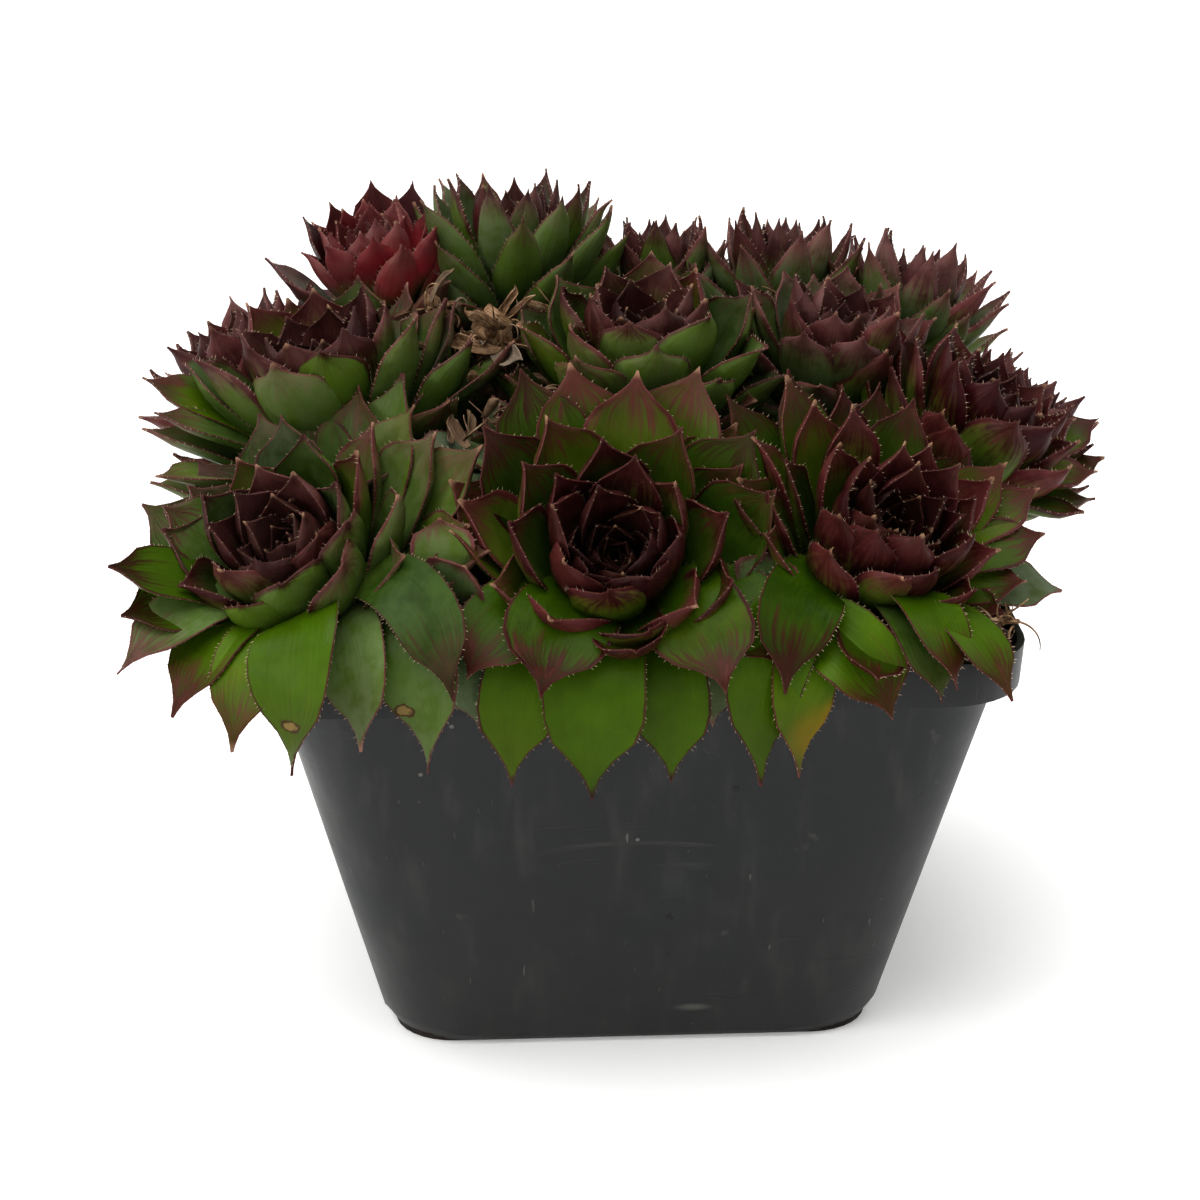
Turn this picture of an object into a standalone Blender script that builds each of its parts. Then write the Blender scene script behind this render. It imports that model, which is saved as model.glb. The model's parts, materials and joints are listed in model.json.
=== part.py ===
"""A clump of houseleeks in a square plastic nursery pot, with every piece that rests in it at its real size.

Metres, +Z up. The origin is the middle of the pot's underside, and the pot's sides lie along X and Y.
The clump is a dome of rosettes. Each rosette is one grown piece: a short stem that stands on the potting mix and
three whorls of pointed leaves round a bud. Neighbours press on each other, so each keeps to its own side of the
planes between them. The outermost leaves spread past the rim and some hang over it.
"""

from collections import namedtuple
from math import cos, pi, radians, sin

import bmesh
import bpy
from mathutils import Vector

MM = 0.001

# The pot: a tapered square with round corners, a band round the rim and corner pads that stand off the ground.
RIM_HALF = 65.0 * MM
POT_HEIGHT = 79.0 * MM
BAND_HEIGHT = 7.7 * MM
BODY_TOP_HALF = 61.3 * MM
BASE_HALF = 44.3 * MM
BASE_EDGE = 1.6 * MM
WALL = 1.3 * MM
FLOOR = 1.6 * MM
CORNER_RADIUS = 14.0 * MM
BASE_CORNER_RADIUS = 12.0 * MM
FOOT_HALF = 30.0 * MM
PAD_HALF = 37.0 * MM
PAD_RAISE = 2.4 * MM
DRAIN_RADIUS = 4.0 * MM
DRAIN_AT = 32.0 * MM
DRAIN_SIDES = 16
CORNER_STEPS = 5
SIDE_SHARES = (-0.9, 0.0, 0.9)
RIM_DRAFT = 0.5 * MM
DRAIN_CUT = 24.0 * MM

# The potting mix: a mound that fills the pot and rises above the rim in the middle.
GAP = 0.35 * MM
PAD_GAP = 1.4 * MM
MIX_EDGE = POT_HEIGHT - 2.0 * MM
MOUND_RISE = 12.0 * MM
MOUND_RINGS = (0.82, 0.62, 0.42, 0.20)

# What every rosette shares.
TIPS = 10
CELL_GAP = 0.4 * MM
CLEARANCE = 0.7 * MM
RIM_CLEARANCE = 1.6 * MM
RIM_TOP = POT_HEIGHT
LEAF_THICKNESS = 2.4 * MM
STEM_SHARE = 0.30
SEAT_SHARE = 0.80
HANG_POWER = 0.5
SPINE_STEPS = 8
KEEP_STEPS = 40
KEEP_PULL = 0.1

# One row for each rosette, in millimetres and degrees: the middle of its leaf whorls, how far its axis leans from
# upright and towards which heading (0 is +X, 90 is +Y), how far its leaves reach, how much further its free outer
# leaves reach, as a share, and how closed its cup is from 0 to 1.
Rosette = namedtuple("Rosette", "name middle lean heading reach skirt closed")
ROSETTES = (
    Rosette("rosette_front_centre", (-4, -50, 90), 48, -93, 32, 0.28, 0.30),
    Rosette("rosette_front_left", (-56, -40, 88), 38, -130, 33, 0.12, 0.25),
    Rosette("rosette_front_right", (38, -42, 88), 44, -66, 31, 0.16, 0.35),
    Rosette("rosette_middle_left", (-51, -4, 105), 14, 205, 34, 0.06, 0.40),
    Rosette("rosette_middle", (3, -9, 111), 8, -90, 30, 0.00, 0.50),
    Rosette("rosette_middle_right", (38, 2, 110), 14, -40, 25, 0.00, 0.60),
    Rosette("rosette_right_side", (60, -13, 97), 34, -14, 28, 0.06, 0.50),
    Rosette("rosette_red_bud", (-46, 27, 118), 10, 150, 21, 0.00, 0.85),
    Rosette("rosette_top_left", (-19, 30, 119), 6, 90, 28, 0.00, 0.65),
    Rosette("rosette_top_centre", (8, 33, 115), 8, 80, 18, 0.00, 0.75),
    Rosette("rosette_top_right", (32, 30, 116), 10, 60, 20, 0.00, 0.80),
    Rosette("rosette_right_shoulder", (54, 25, 108), 20, 30, 20, 0.05, 0.75),
    Rosette("rosette_left_side", (-66, 17, 101), 30, 170, 21, 0.04, 0.60),
    Rosette("rosette_right_flank", (70, 9, 95), 36, 12, 19, 0.04, 0.55),
    Rosette("rosette_rear_left", (-46, 55, 97), 40, 128, 30, 0.12, 0.45),
    Rosette("rosette_rear_centre", (-4, 62, 97), 42, 92, 30, 0.12, 0.40),
    Rosette("rosette_rear_right", (42, 54, 97), 42, 56, 30, 0.12, 0.45),
    Rosette("offset_front_left", (-30, -54, 87), 60, -95, 15, 0.60, 0.60),
    Rosette("offset_front_right", (19, -57, 85), 64, -88, 14, 0.60, 0.50),
    Rosette("offset_inner_left", (-19, -22, 103), 20, -100, 12, 0.00, 0.85),
)

# Withered pieces that stand in the mix between the rosettes, in millimetres: the foot's place, the tip's place, the
# width and thickness at the middle of the length, and the share of the width left at the tip.
Withered = namedtuple("Withered", "name foot tip width thickness taper")
WITHERED = (
    Withered("flower_stalk_stump", (-22, 1), (-24, 0, 120), 6.0, 5.0, 0.8),
    Withered("withered_stalk_left", (-32, 8), (-34, 10, 124), 3.4, 2.6, 0.5),
    Withered("withered_leaf_middle", (-13, 8), (-10, 12, 124), 6.0, 1.6, 0.3),
    Withered("withered_leaf_right", (28, 13), (29, 12, 121), 6.0, 1.6, 0.3),
    Withered("withered_leaf_corner", (50, -46), (62, -58, 86), 7.0, 1.6, 0.3),
)

WITHERED_SIDES = 8
# How wide a withered piece is along its length, as shares of its length and of its width.
WITHERED_WIDTHS = ((0.0, 0.7), (0.25, 0.9), (0.6, 1.0))

# Chips of bark that lie on the mix, in millimetres and degrees: place, length, width, thickness and heading.
Chip = namedtuple("Chip", "name place length width thickness heading")
CHIPS = (
    Chip("bark_chip_corner", (57, -53), 9, 6, 3.0, -35),
    Chip("bark_chip_edge", (59, -42), 7, 5, 2.5, 70),
)
# Half outline of a chip from one end to the other, as shares of its half length and half width.
CHIP_OUTLINE = ((1.0, 0.2), (0.7, 0.8), (-0.1, 1.0), (-0.8, 0.7), (-1.0, 0.1))
CHIP_TOP = 0.82

Ring = namedtuple("Ring", "name radius height notch sink half_turn")
# The whorls from the stem up, as shares of the reach: radius and height of the leaf tips, the radius of the notches
# between them as a share of the tips', how far the notches lie under the tips, and whether the whorl is turned by
# half a leaf. OPEN is a spread rosette and CLOSED a bud.
OPEN_WHORLS = (
    Ring("neck", 0.48, -0.34, 1.0, 0.00, False),
    Ring("under", 0.76, -0.10, 0.94, 0.00, False),
    Ring("tips", 1.00, 0.06, 0.76, 0.02, False),
    Ring("over", 0.76, 0.12, 0.92, 0.00, False),
    Ring("notch", 0.60, 0.08, 1.00, 0.00, False),
    Ring("middle_tips", 0.74, 0.40, 0.80, 0.10, True),
    Ring("middle_notch", 0.44, 0.20, 1.00, 0.00, True),
    Ring("inner_tips", 0.46, 0.52, 0.78, 0.10, False),
    Ring("inner_notch", 0.22, 0.30, 1.00, 0.00, False),
    Ring("bud_tips", 0.18, 0.50, 0.75, 0.08, True),
)
CLOSED_WHORLS = (
    Ring("neck", 0.50, -0.36, 1.0, 0.00, False),
    Ring("under", 0.80, -0.05, 0.94, 0.00, False),
    Ring("tips", 0.94, 0.46, 0.78, 0.12, False),
    Ring("over", 0.76, 0.34, 0.92, 0.00, False),
    Ring("notch", 0.66, 0.26, 1.00, 0.00, False),
    Ring("middle_tips", 0.70, 0.80, 0.80, 0.14, True),
    Ring("middle_notch", 0.46, 0.50, 1.00, 0.00, True),
    Ring("inner_tips", 0.44, 0.98, 0.78, 0.14, False),
    Ring("inner_notch", 0.24, 0.66, 1.00, 0.00, False),
    Ring("bud_tips", 0.17, 0.98, 0.75, 0.10, True),
)
APEX_OPEN = 0.46
APEX_CLOSED = 0.88


def clear_scene():
    """Removes whatever the file held before."""
    for obj in list(bpy.data.objects):
        bpy.data.objects.remove(obj)


def finish_material(name, colour, roughness, metallic=0.0):
    """A Principled BSDF with one colour."""
    material = bpy.data.materials.new(name)
    material.use_nodes = True
    shader = material.node_tree.nodes["Principled BSDF"]
    shader.inputs["Base Color"].default_value = (*colour, 1.0)
    shader.inputs["Roughness"].default_value = roughness
    shader.inputs["Metallic"].default_value = metallic
    return material


def close_loop(mesh, loop, point):
    """Closes a loop of edges with one face or, where a point is given, with faces that meet there."""
    cap = bmesh.ops.contextual_create(mesh, geom=loop)["faces"]
    if point is not None:
        middle = bmesh.ops.poke(mesh, faces=cap)["verts"][0]
        middle.co = point


def solid_from_rings(name, rings, material, top=None, sharp=35):
    """One closed object, grown by extruding the first ring to each of the others. top is a point to end in."""
    mesh = bmesh.new()
    corners = [mesh.verts.new(point) for point in rings[0]]
    loop = [mesh.edges.new((a, b)) for a, b in zip(corners, corners[1:] + corners[:1])]
    close_loop(mesh, loop, None)
    for ring in rings[1:]:
        grown = bmesh.ops.extrude_edge_only(mesh, edges=loop)["geom"]
        loop = [item for item in grown if isinstance(item, bmesh.types.BMEdge)]
        fresh = {item for item in grown if isinstance(item, bmesh.types.BMVert)}
        corners = [next(e.other_vert(c) for e in c.link_edges if e.other_vert(c) in fresh) for c in corners]
        for corner, point in zip(corners, ring):
            corner.co = point
        loop = [edge for edge in loop if set(edge.verts) <= fresh]
    close_loop(mesh, loop, top)
    bmesh.ops.recalc_face_normals(mesh, faces=mesh.faces)
    data = bpy.data.meshes.new(name)
    mesh.to_mesh(data)
    mesh.free()
    data.shade_smooth()
    data.set_sharp_from_angle(angle=radians(sharp))
    data.materials.append(material)
    obj = bpy.data.objects.new(name, data)
    bpy.context.scene.collection.objects.link(obj)
    return obj


def rounded_square(half, radius, height):
    """Points round a square with round corners. height is a number, or a function of x and y."""
    points = []
    centre = half - radius
    for turn in range(4):
        for step in range(CORNER_STEPS + 1):
            angle = pi / 2 * (turn + step / CORNER_STEPS)
            x_centre = centre if turn in (0, 3) else -centre
            y_centre = centre if turn in (0, 1) else -centre
            points.append((x_centre + radius * cos(angle), y_centre + radius * sin(angle)))
        along = Vector((cos(pi / 2 * (turn + 1)), sin(pi / 2 * (turn + 1))))
        across = Vector((-along.y, along.x))
        for share in SIDE_SHARES:
            points.append(tuple(along * half + across * centre * share))
    level = height if callable(height) else lambda x, y: height
    return [Vector((x, y, level(x, y))) for x, y in points]


def smooth_step(value):
    """0 below 0, 1 above 1 and an easy curve between."""
    value = min(1.0, max(0.0, value))
    return value * value * (3 - 2 * value)


def pad_height(x, y):
    """Height of the underside: flat in the middle, and raised on the four corner pads."""
    return PAD_RAISE * smooth_step((min(abs(x), abs(y)) - FOOT_HALF) / (PAD_HALF - FOOT_HALF))


def body_half(z):
    """Half the pot body's width at a height."""
    share = z / (POT_HEIGHT - BAND_HEIGHT)
    return BASE_HALF + (BODY_TOP_HALF - BASE_HALF) * share


def lifted(amount):
    """The underside's height function, raised by an amount."""
    return lambda x, y: pad_height(x, y) + amount


def make_pot(material):
    """The pot's shell, from the underside up the outside, over the rim and down the inside to the floor."""
    band = POT_HEIGHT - BAND_HEIGHT
    inside_top = band + WALL
    rings = [
        rounded_square(FOOT_HALF, BASE_CORNER_RADIUS, lifted(0.0)),
        rounded_square(PAD_HALF, BASE_CORNER_RADIUS, lifted(0.0)),
        rounded_square(BASE_HALF - BASE_EDGE, BASE_CORNER_RADIUS, lifted(0.0)),
        rounded_square(body_half(BASE_EDGE), BASE_CORNER_RADIUS, lifted(BASE_EDGE)),
        rounded_square(body_half(band), CORNER_RADIUS, band),
        rounded_square(RIM_HALF - RIM_DRAFT, CORNER_RADIUS, band),
        rounded_square(RIM_HALF, CORNER_RADIUS, POT_HEIGHT),
        rounded_square(RIM_HALF - WALL, CORNER_RADIUS - WALL, POT_HEIGHT),
        rounded_square(RIM_HALF - WALL - RIM_DRAFT, CORNER_RADIUS - WALL, inside_top),
        rounded_square(body_half(band) - WALL, CORNER_RADIUS - WALL, inside_top),
        rounded_square(body_half(FLOOR) - WALL, BASE_CORNER_RADIUS - WALL, lifted(FLOOR)),
        rounded_square(PAD_HALF, BASE_CORNER_RADIUS - WALL, lifted(FLOOR)),
        rounded_square(FOOT_HALF, BASE_CORNER_RADIUS - WALL, lifted(FLOOR)),
    ]
    pot = solid_from_rings("pot", rings, material)
    for number, (x, y) in enumerate(((1, 1), (-1, 1), (-1, -1), (1, -1))):
        bpy.ops.mesh.primitive_cylinder_add(
            vertices=DRAIN_SIDES,
            radius=DRAIN_RADIUS,
            depth=DRAIN_CUT,
            location=(x * DRAIN_AT, y * DRAIN_AT, 0),
        )
        cutter = bpy.context.object
        cutter.name = f"drain_cutter_{number}"
        cutter.hide_render = True
        cutter.display_type = "WIRE"
        cut = pot.modifiers.new(f"drain_hole_{number}", "BOOLEAN")
        cut.operation = "DIFFERENCE"
        cut.object = cutter
    return pot


def mound(x, y):
    """Height of the potting mix at a place inside the pot."""
    edge = RIM_HALF - WALL
    share = (x**4 + y**4) ** 0.25 / edge
    return MIX_EDGE + MOUND_RISE * (1 - share * share)


def make_mix(material):
    """The potting mix: it fills the pot a small gap clear of the wall, and is domed on top."""
    band = POT_HEIGHT - BAND_HEIGHT
    edge = RIM_HALF - WALL - RIM_DRAFT - GAP
    radius = CORNER_RADIUS - WALL
    under = lifted(FLOOR + PAD_GAP)
    rings = [
        rounded_square(FOOT_HALF, BASE_CORNER_RADIUS - WALL, lifted(FLOOR + GAP)),
        rounded_square(PAD_HALF, BASE_CORNER_RADIUS - WALL, under),
        rounded_square(body_half(FLOOR) - WALL - 2 * GAP, BASE_CORNER_RADIUS - WALL, under),
        rounded_square(body_half(band) - WALL - 2 * GAP, radius, band),
        rounded_square(body_half(band) - WALL - GAP, radius, band + WALL + GAP),
        rounded_square(edge, radius, band + WALL + GAP),
        rounded_square(edge, radius, mound),
    ]
    rings += [rounded_square(edge * share, radius * share, mound) for share in MOUND_RINGS]
    return solid_from_rings("potting_mix", rings, material, top=Vector((0, 0, mound(0, 0))))


def outline_share(x, y):
    """How far out a place is, as a share of the rim's outline with its clearance. Over 1 is outside the pot."""
    return max(abs(x), abs(y)) / (RIM_HALF + RIM_CLEARANCE)


def lowest_clear(x, y):
    """The lowest height at which a leaf over this place clears the mix and the rim."""
    return max(mound(x, y) + CLEARANCE, RIM_TOP + RIM_CLEARANCE)


def raised(point):
    """The point, lifted where it lies over the pot and too low."""
    if outline_share(point.x, point.y) > 1:
        return point
    return Vector((point.x, point.y, max(point.z, lowest_clear(point.x, point.y))))


class Cell:
    """A piece's frame, and the planes that part it from its neighbours. core is the room it needs round its spine."""

    def __init__(self, middle, seat, lean, heading, reach, core=0.0):
        self.middle = Vector(middle) * MM
        self.seat = Vector((seat[0] * MM, seat[1] * MM, 0.0))
        self.seat.z = mound(self.seat.x, self.seat.y) + CLEARANCE
        lean, heading = radians(lean), radians(heading)
        self.axis = Vector((sin(lean) * cos(heading), sin(lean) * sin(heading), cos(lean)))
        outward = Vector((cos(heading), sin(heading), 0.0))
        self.down = (outward - self.axis * outward.dot(self.axis)).normalized()
        self.side = self.axis.cross(self.down)
        self.reach = reach * MM
        self.core = core * MM
        self.planes = []

    def spine(self):
        """Places along the line from the seat to the middle."""
        return [self.seat.lerp(self.middle, step / SPINE_STEPS) for step in range(SPINE_STEPS + 1)]

    def part_from(self, other):
        """Adds the plane between this cell and another, across the shortest way between their spines."""
        pairs = [(own, far) for own in self.spine() for far in other.spine()]
        own, far = min(pairs, key=lambda pair: (pair[1] - pair[0]).length)
        apart = far - own
        share = self.reach / (self.reach + other.reach)
        normal = apart.normalized()
        width = min(apart.length * share, apart.length - other.core)
        self.planes.append((normal, own.dot(normal) + width - CELL_GAP))

    def holds(self, point):
        """Whether a place is on this cell's side of every plane."""
        return all(point.dot(normal) <= limit + 1e-9 for normal, limit in self.planes)

    def keep(self, point, anchor):
        """The point, drawn in towards an anchor until it is inside the cell, and clear of the pot and the mix."""
        for normal, limit in self.planes:
            far, near = point.dot(normal), anchor.dot(normal)
            if far > limit:
                point = anchor.lerp(point, (limit - near) / (far - near))
        point = raised(point)
        for _ in range(KEEP_STEPS):
            if self.holds(point):
                break
            point = raised(point.lerp(anchor, KEEP_PULL))
        return point

    def at(self, angle, radius, height):
        """The place at an angle round the axis, counted from the side that leans lowest."""
        return self.middle + (self.down * cos(angle) + self.side * sin(angle)) * radius + self.axis * height


def whorl_points(cell, rosette, low, high):
    """One ring of a rosette: a ring between the open and the closed form, with tips and notches by turns."""
    mix = rosette.closed
    radius = low.radius * (1 - mix) + high.radius * mix
    height = low.height * (1 - mix) + high.height * mix
    sink = low.sink * (1 - mix) + high.sink * mix
    points = []
    for step in range(2 * TIPS):
        angle = pi * step / TIPS
        is_tip = (step % 2 == 0) != low.half_turn
        longer = 1.0
        if low.name == "tips":
            longer += rosette.skirt * max(0.0, cos(angle)) ** HANG_POWER
        out = radius * cell.reach * longer * (1.0 if is_tip else low.notch)
        up = (height - (0.0 if is_tip else sink)) * cell.reach
        points.append(cell.keep(cell.at(angle, out, up), cell.middle))
    return points


def rim_crossing(inner, tip, lift):
    """The place where the way from inside the pot to a leaf tip outside passes over the rim."""
    first, last = outline_share(inner.x, inner.y), outline_share(tip.x, tip.y)
    crossing = inner.lerp(tip, (1 - first) / (last - first))
    crossing.z = RIM_TOP + RIM_CLEARANCE + lift
    return crossing


def lowest_tip(inner, tip):
    """The lowest a hanging tip may be for the edge to it from a place inside the pot to pass over the rim."""
    first, last = outline_share(inner.x, inner.y), outline_share(tip.x, tip.y)
    if first >= 1 - 1e-6:
        return tip.z
    return inner.z + (RIM_TOP + RIM_CLEARANCE - inner.z) * (last - first) / (1 - first)


def bend_over_rim(cell, rings):
    """Where a leaf tip hangs outside the pot and lower than its rim, the leaf is laid over the rim's edge."""
    neck, under, tips, over = (rings[name] for name in ("neck", "under", "tips", "over"))
    for number in range(0, 2 * TIPS, 2):
        tip = tips[number]
        if outline_share(tip.x, tip.y) <= 1 or tip.z > RIM_TOP + 2 * RIM_CLEARANCE:
            continue
        for near in (number - 1, number, number + 1):
            inner = neck[near % (2 * TIPS)]
            outer = tip if near == number else cell.at(pi * near / TIPS, 2 * cell.reach, 0.0)
            if outline_share(inner.x, inner.y) >= 1 or outline_share(outer.x, outer.y) <= 1:
                continue
            near %= 2 * TIPS
            under[near] = cell.keep(rim_crossing(inner, outer, 0.0), cell.middle)
            over[near] = cell.keep(rim_crossing(inner, outer, LEAF_THICKNESS), cell.middle)
            if near != number:
                tips[near] = cell.keep(rim_crossing(inner, outer, LEAF_THICKNESS / 2), cell.middle)
        beside = [ring[near % (2 * TIPS)] for ring in (under, tips, over) for near in (number - 1, number + 1)]
        for inner in (*beside, under[number], over[number]):
            tip.z = max(tip.z, lowest_tip(inner, tip))


def make_rosette(rosette, cell, material):
    """One rosette, as a solid with a stem and three whorls of pointed leaves round a bud."""
    rings = {
        low.name: whorl_points(cell, rosette, low, high) for low, high in zip(OPEN_WHORLS, CLOSED_WHORLS)
    }
    bend_over_rim(cell, rings)
    stem_radius = STEM_SHARE * cell.reach
    foot = []
    for step in range(2 * TIPS):
        direction = cell.down * cos(pi * step / TIPS) + cell.side * sin(pi * step / TIPS)
        x, y = cell.seat.x + direction.x * stem_radius, cell.seat.y + direction.y * stem_radius
        foot.append(cell.keep(Vector((x, y, mound(x, y) + CLEARANCE)), cell.seat))
    apex = APEX_OPEN * (1 - rosette.closed) + APEX_CLOSED * rosette.closed
    top = cell.keep(cell.middle + cell.axis * apex * cell.reach, cell.middle)
    return solid_from_rings(rosette.name, [foot, *rings.values()], material, top=top, sharp=20)


def withered_cell(piece):
    """The cell of a withered piece, which keeps the rosettes off it."""
    return Cell(piece.tip, piece.foot, 0.0, 0.0, piece.width, core=piece.width / 2)


def make_withered(piece, material):
    """A withered stalk or leaf that stands in the mix: a flattened rod that narrows to its tip."""
    foot = Vector((piece.foot[0] * MM, piece.foot[1] * MM, 0.0))
    foot.z = mound(foot.x, foot.y) + CLEARANCE
    tip = Vector(piece.tip) * MM
    across = Vector((-foot.y, foot.x, 0.0)).normalized()
    through = Vector((across.y, -across.x, 0.0))
    rings = []
    for share, width in (*WITHERED_WIDTHS, (1.0, piece.taper)):
        middle = foot.lerp(tip, share)
        ring = []
        for step in range(WITHERED_SIDES):
            angle = 2 * pi * step / WITHERED_SIDES
            wide = across * cos(angle) * piece.width * width * MM / 2
            thick = through * sin(angle) * piece.thickness * width * MM / 2
            ring.append(middle + wide + thick)
        rings.append(ring)
    return solid_from_rings(piece.name, rings, material)


def chip_cell(chip):
    """The cell of a bark chip, which keeps the rosettes off it."""
    top = mound(chip.place[0] * MM, chip.place[1] * MM) / MM + 2 * chip.thickness
    return Cell((*chip.place, top), chip.place, 0.0, 0.0, chip.length, core=0.6 * chip.length)


def make_chip(chip, material):
    """A flat chip of bark with a worn outline, laid level on the highest of the mix under it."""
    half = [(x * chip.length / 2, y * chip.width / 2) for x, y in CHIP_OUTLINE]
    outline = half + [(-x, -y) for x, y in half]
    turn = radians(chip.heading)
    places = []
    for along, across in outline:
        x = (chip.place[0] + along * cos(turn) - across * sin(turn)) * MM
        y = (chip.place[1] + along * sin(turn) + across * cos(turn)) * MM
        places.append((x, y))
    middle = Vector((chip.place[0] * MM, chip.place[1] * MM))
    low = max(mound(x, y) for x, y in places) + GAP
    high = low + chip.thickness * MM
    lower = [Vector((x, y, low)) for x, y in places]
    upper = []
    for place in places:
        inner = middle.lerp(Vector(place), CHIP_TOP)
        upper.append(Vector((inner.x, inner.y, high)))
    return solid_from_rings(chip.name, [lower, upper], material)


def all_cells():
    """The rosettes' cells, each parted from every other rosette, withered piece and chip."""
    cells = []
    for row in ROSETTES:
        seat = (row.middle[0] * SEAT_SHARE, row.middle[1] * SEAT_SHARE)
        cells.append(Cell(row.middle, seat, row.lean, row.heading, row.reach))
    small = [withered_cell(piece) for piece in WITHERED] + [chip_cell(chip) for chip in CHIPS]
    for cell in cells:
        for other in cells + small:
            if other is not cell:
                cell.part_from(other)
    return cells


def main():
    clear_scene()
    make_pot(finish_material("pot_plastic", (0.022, 0.023, 0.025), 0.42))
    make_mix(finish_material("potting_mix", (0.020, 0.013, 0.009), 0.95))
    leaf = finish_material("houseleek_leaf", (0.060, 0.105, 0.022), 0.48)
    for rosette, cell in zip(ROSETTES, all_cells()):
        make_rosette(rosette, cell, leaf)
    straw = finish_material("withered_leaf", (0.240, 0.130, 0.060), 0.85)
    for piece in WITHERED:
        make_withered(piece, straw)
    bark = finish_material("bark", (0.050, 0.030, 0.020), 0.90)
    for chip in CHIPS:
        make_chip(chip, bark)


main()
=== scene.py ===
"""The looks of a potted houseleek: a crowded clump of rosettes in a square nursery pot.

Sizes are in millimetres and angles in degrees, unless a name or a comment says otherwise. Every
piece is made in millimetres and turned to metres when it is finished.
"""

import json
import logging
import math
from dataclasses import dataclass, field, replace
from enum import Enum
from typing import Any, Callable, Iterable, Sequence

import bmesh
import bpy
import numpy as np
from mathutils import Matrix, Vector, noise

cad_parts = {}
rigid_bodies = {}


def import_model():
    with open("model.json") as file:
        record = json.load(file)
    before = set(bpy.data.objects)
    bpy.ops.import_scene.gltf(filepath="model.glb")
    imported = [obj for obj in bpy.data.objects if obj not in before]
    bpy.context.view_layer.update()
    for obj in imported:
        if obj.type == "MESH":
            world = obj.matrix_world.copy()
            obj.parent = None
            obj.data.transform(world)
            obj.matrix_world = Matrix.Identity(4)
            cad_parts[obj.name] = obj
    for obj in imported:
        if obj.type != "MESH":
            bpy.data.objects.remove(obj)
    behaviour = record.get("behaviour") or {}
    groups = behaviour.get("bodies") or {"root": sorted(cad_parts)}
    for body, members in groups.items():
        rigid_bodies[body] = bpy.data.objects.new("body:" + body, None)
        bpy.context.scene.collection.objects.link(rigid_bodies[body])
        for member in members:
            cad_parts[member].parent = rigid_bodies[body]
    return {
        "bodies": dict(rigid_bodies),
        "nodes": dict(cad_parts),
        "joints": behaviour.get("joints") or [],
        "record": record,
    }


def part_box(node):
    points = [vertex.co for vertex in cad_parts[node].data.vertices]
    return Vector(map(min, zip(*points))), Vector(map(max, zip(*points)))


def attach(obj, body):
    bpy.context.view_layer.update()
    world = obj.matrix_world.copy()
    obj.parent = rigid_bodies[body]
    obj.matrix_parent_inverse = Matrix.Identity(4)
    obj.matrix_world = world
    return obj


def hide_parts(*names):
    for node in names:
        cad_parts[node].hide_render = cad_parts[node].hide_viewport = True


LOG = logging.getLogger("potted_houseleek")
MM = 0.001
BODY = "root"
GOLDEN_ANGLE = 137.508

Array = np.ndarray
Triple = tuple[float, float, float]
Pair = tuple[float, float]


class Slot(Enum):
    """The record's material slots."""

    POT = "pot_plastic"
    MIX = "potting_mix"
    LEAF = "houseleek_leaf"
    WITHERED = "withered_leaf"
    BARK = "bark"


# ---------------------------------------------------------------- small tools


def ease(value: Array | float) -> Array:
    """0 below 0, 1 above 1 and an easy curve between."""
    value = np.clip(value, 0.0, 1.0)
    return value * value * (3 - 2 * value)


def linear(colour: str) -> tuple[float, float, float, float]:
    """Turns an sRGB hex colour to linear.

    Args:
        colour: A hash and six hex digits.

    Returns:
        Red, green, blue and alpha, as a colour socket takes them.
    """
    parts = [int(colour[at : at + 2], 16) / 255 for at in (1, 3, 5)]
    red, green, blue = (p / 12.92 if p <= 0.04045 else ((p + 0.055) / 1.055) ** 2.4 for p in parts)
    return red, green, blue, 1.0


def unit_rows(rows: Array) -> Array:
    """Directions of length 1, one for each row."""
    return rows / np.linalg.norm(rows, axis=1, keepdims=True)


# The field of each kind of node that holds its own choice, and the outputs that are asked for by number.
CHOICES = {
    "Math": "operation", "VectorMath": "operation", "Mix": "data_type", "MapRange": "interpolation_type",
    "TexVoronoi": "feature",
}
OBJECT_PLACE = 3
ALPHA = 3
CELL_COLOUR = 1
HEIGHT = 2
EVERY = slice(None)
EASED = "MapRange.SMOOTHSTEP"
DEPTH_SHARE = 0.2


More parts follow.
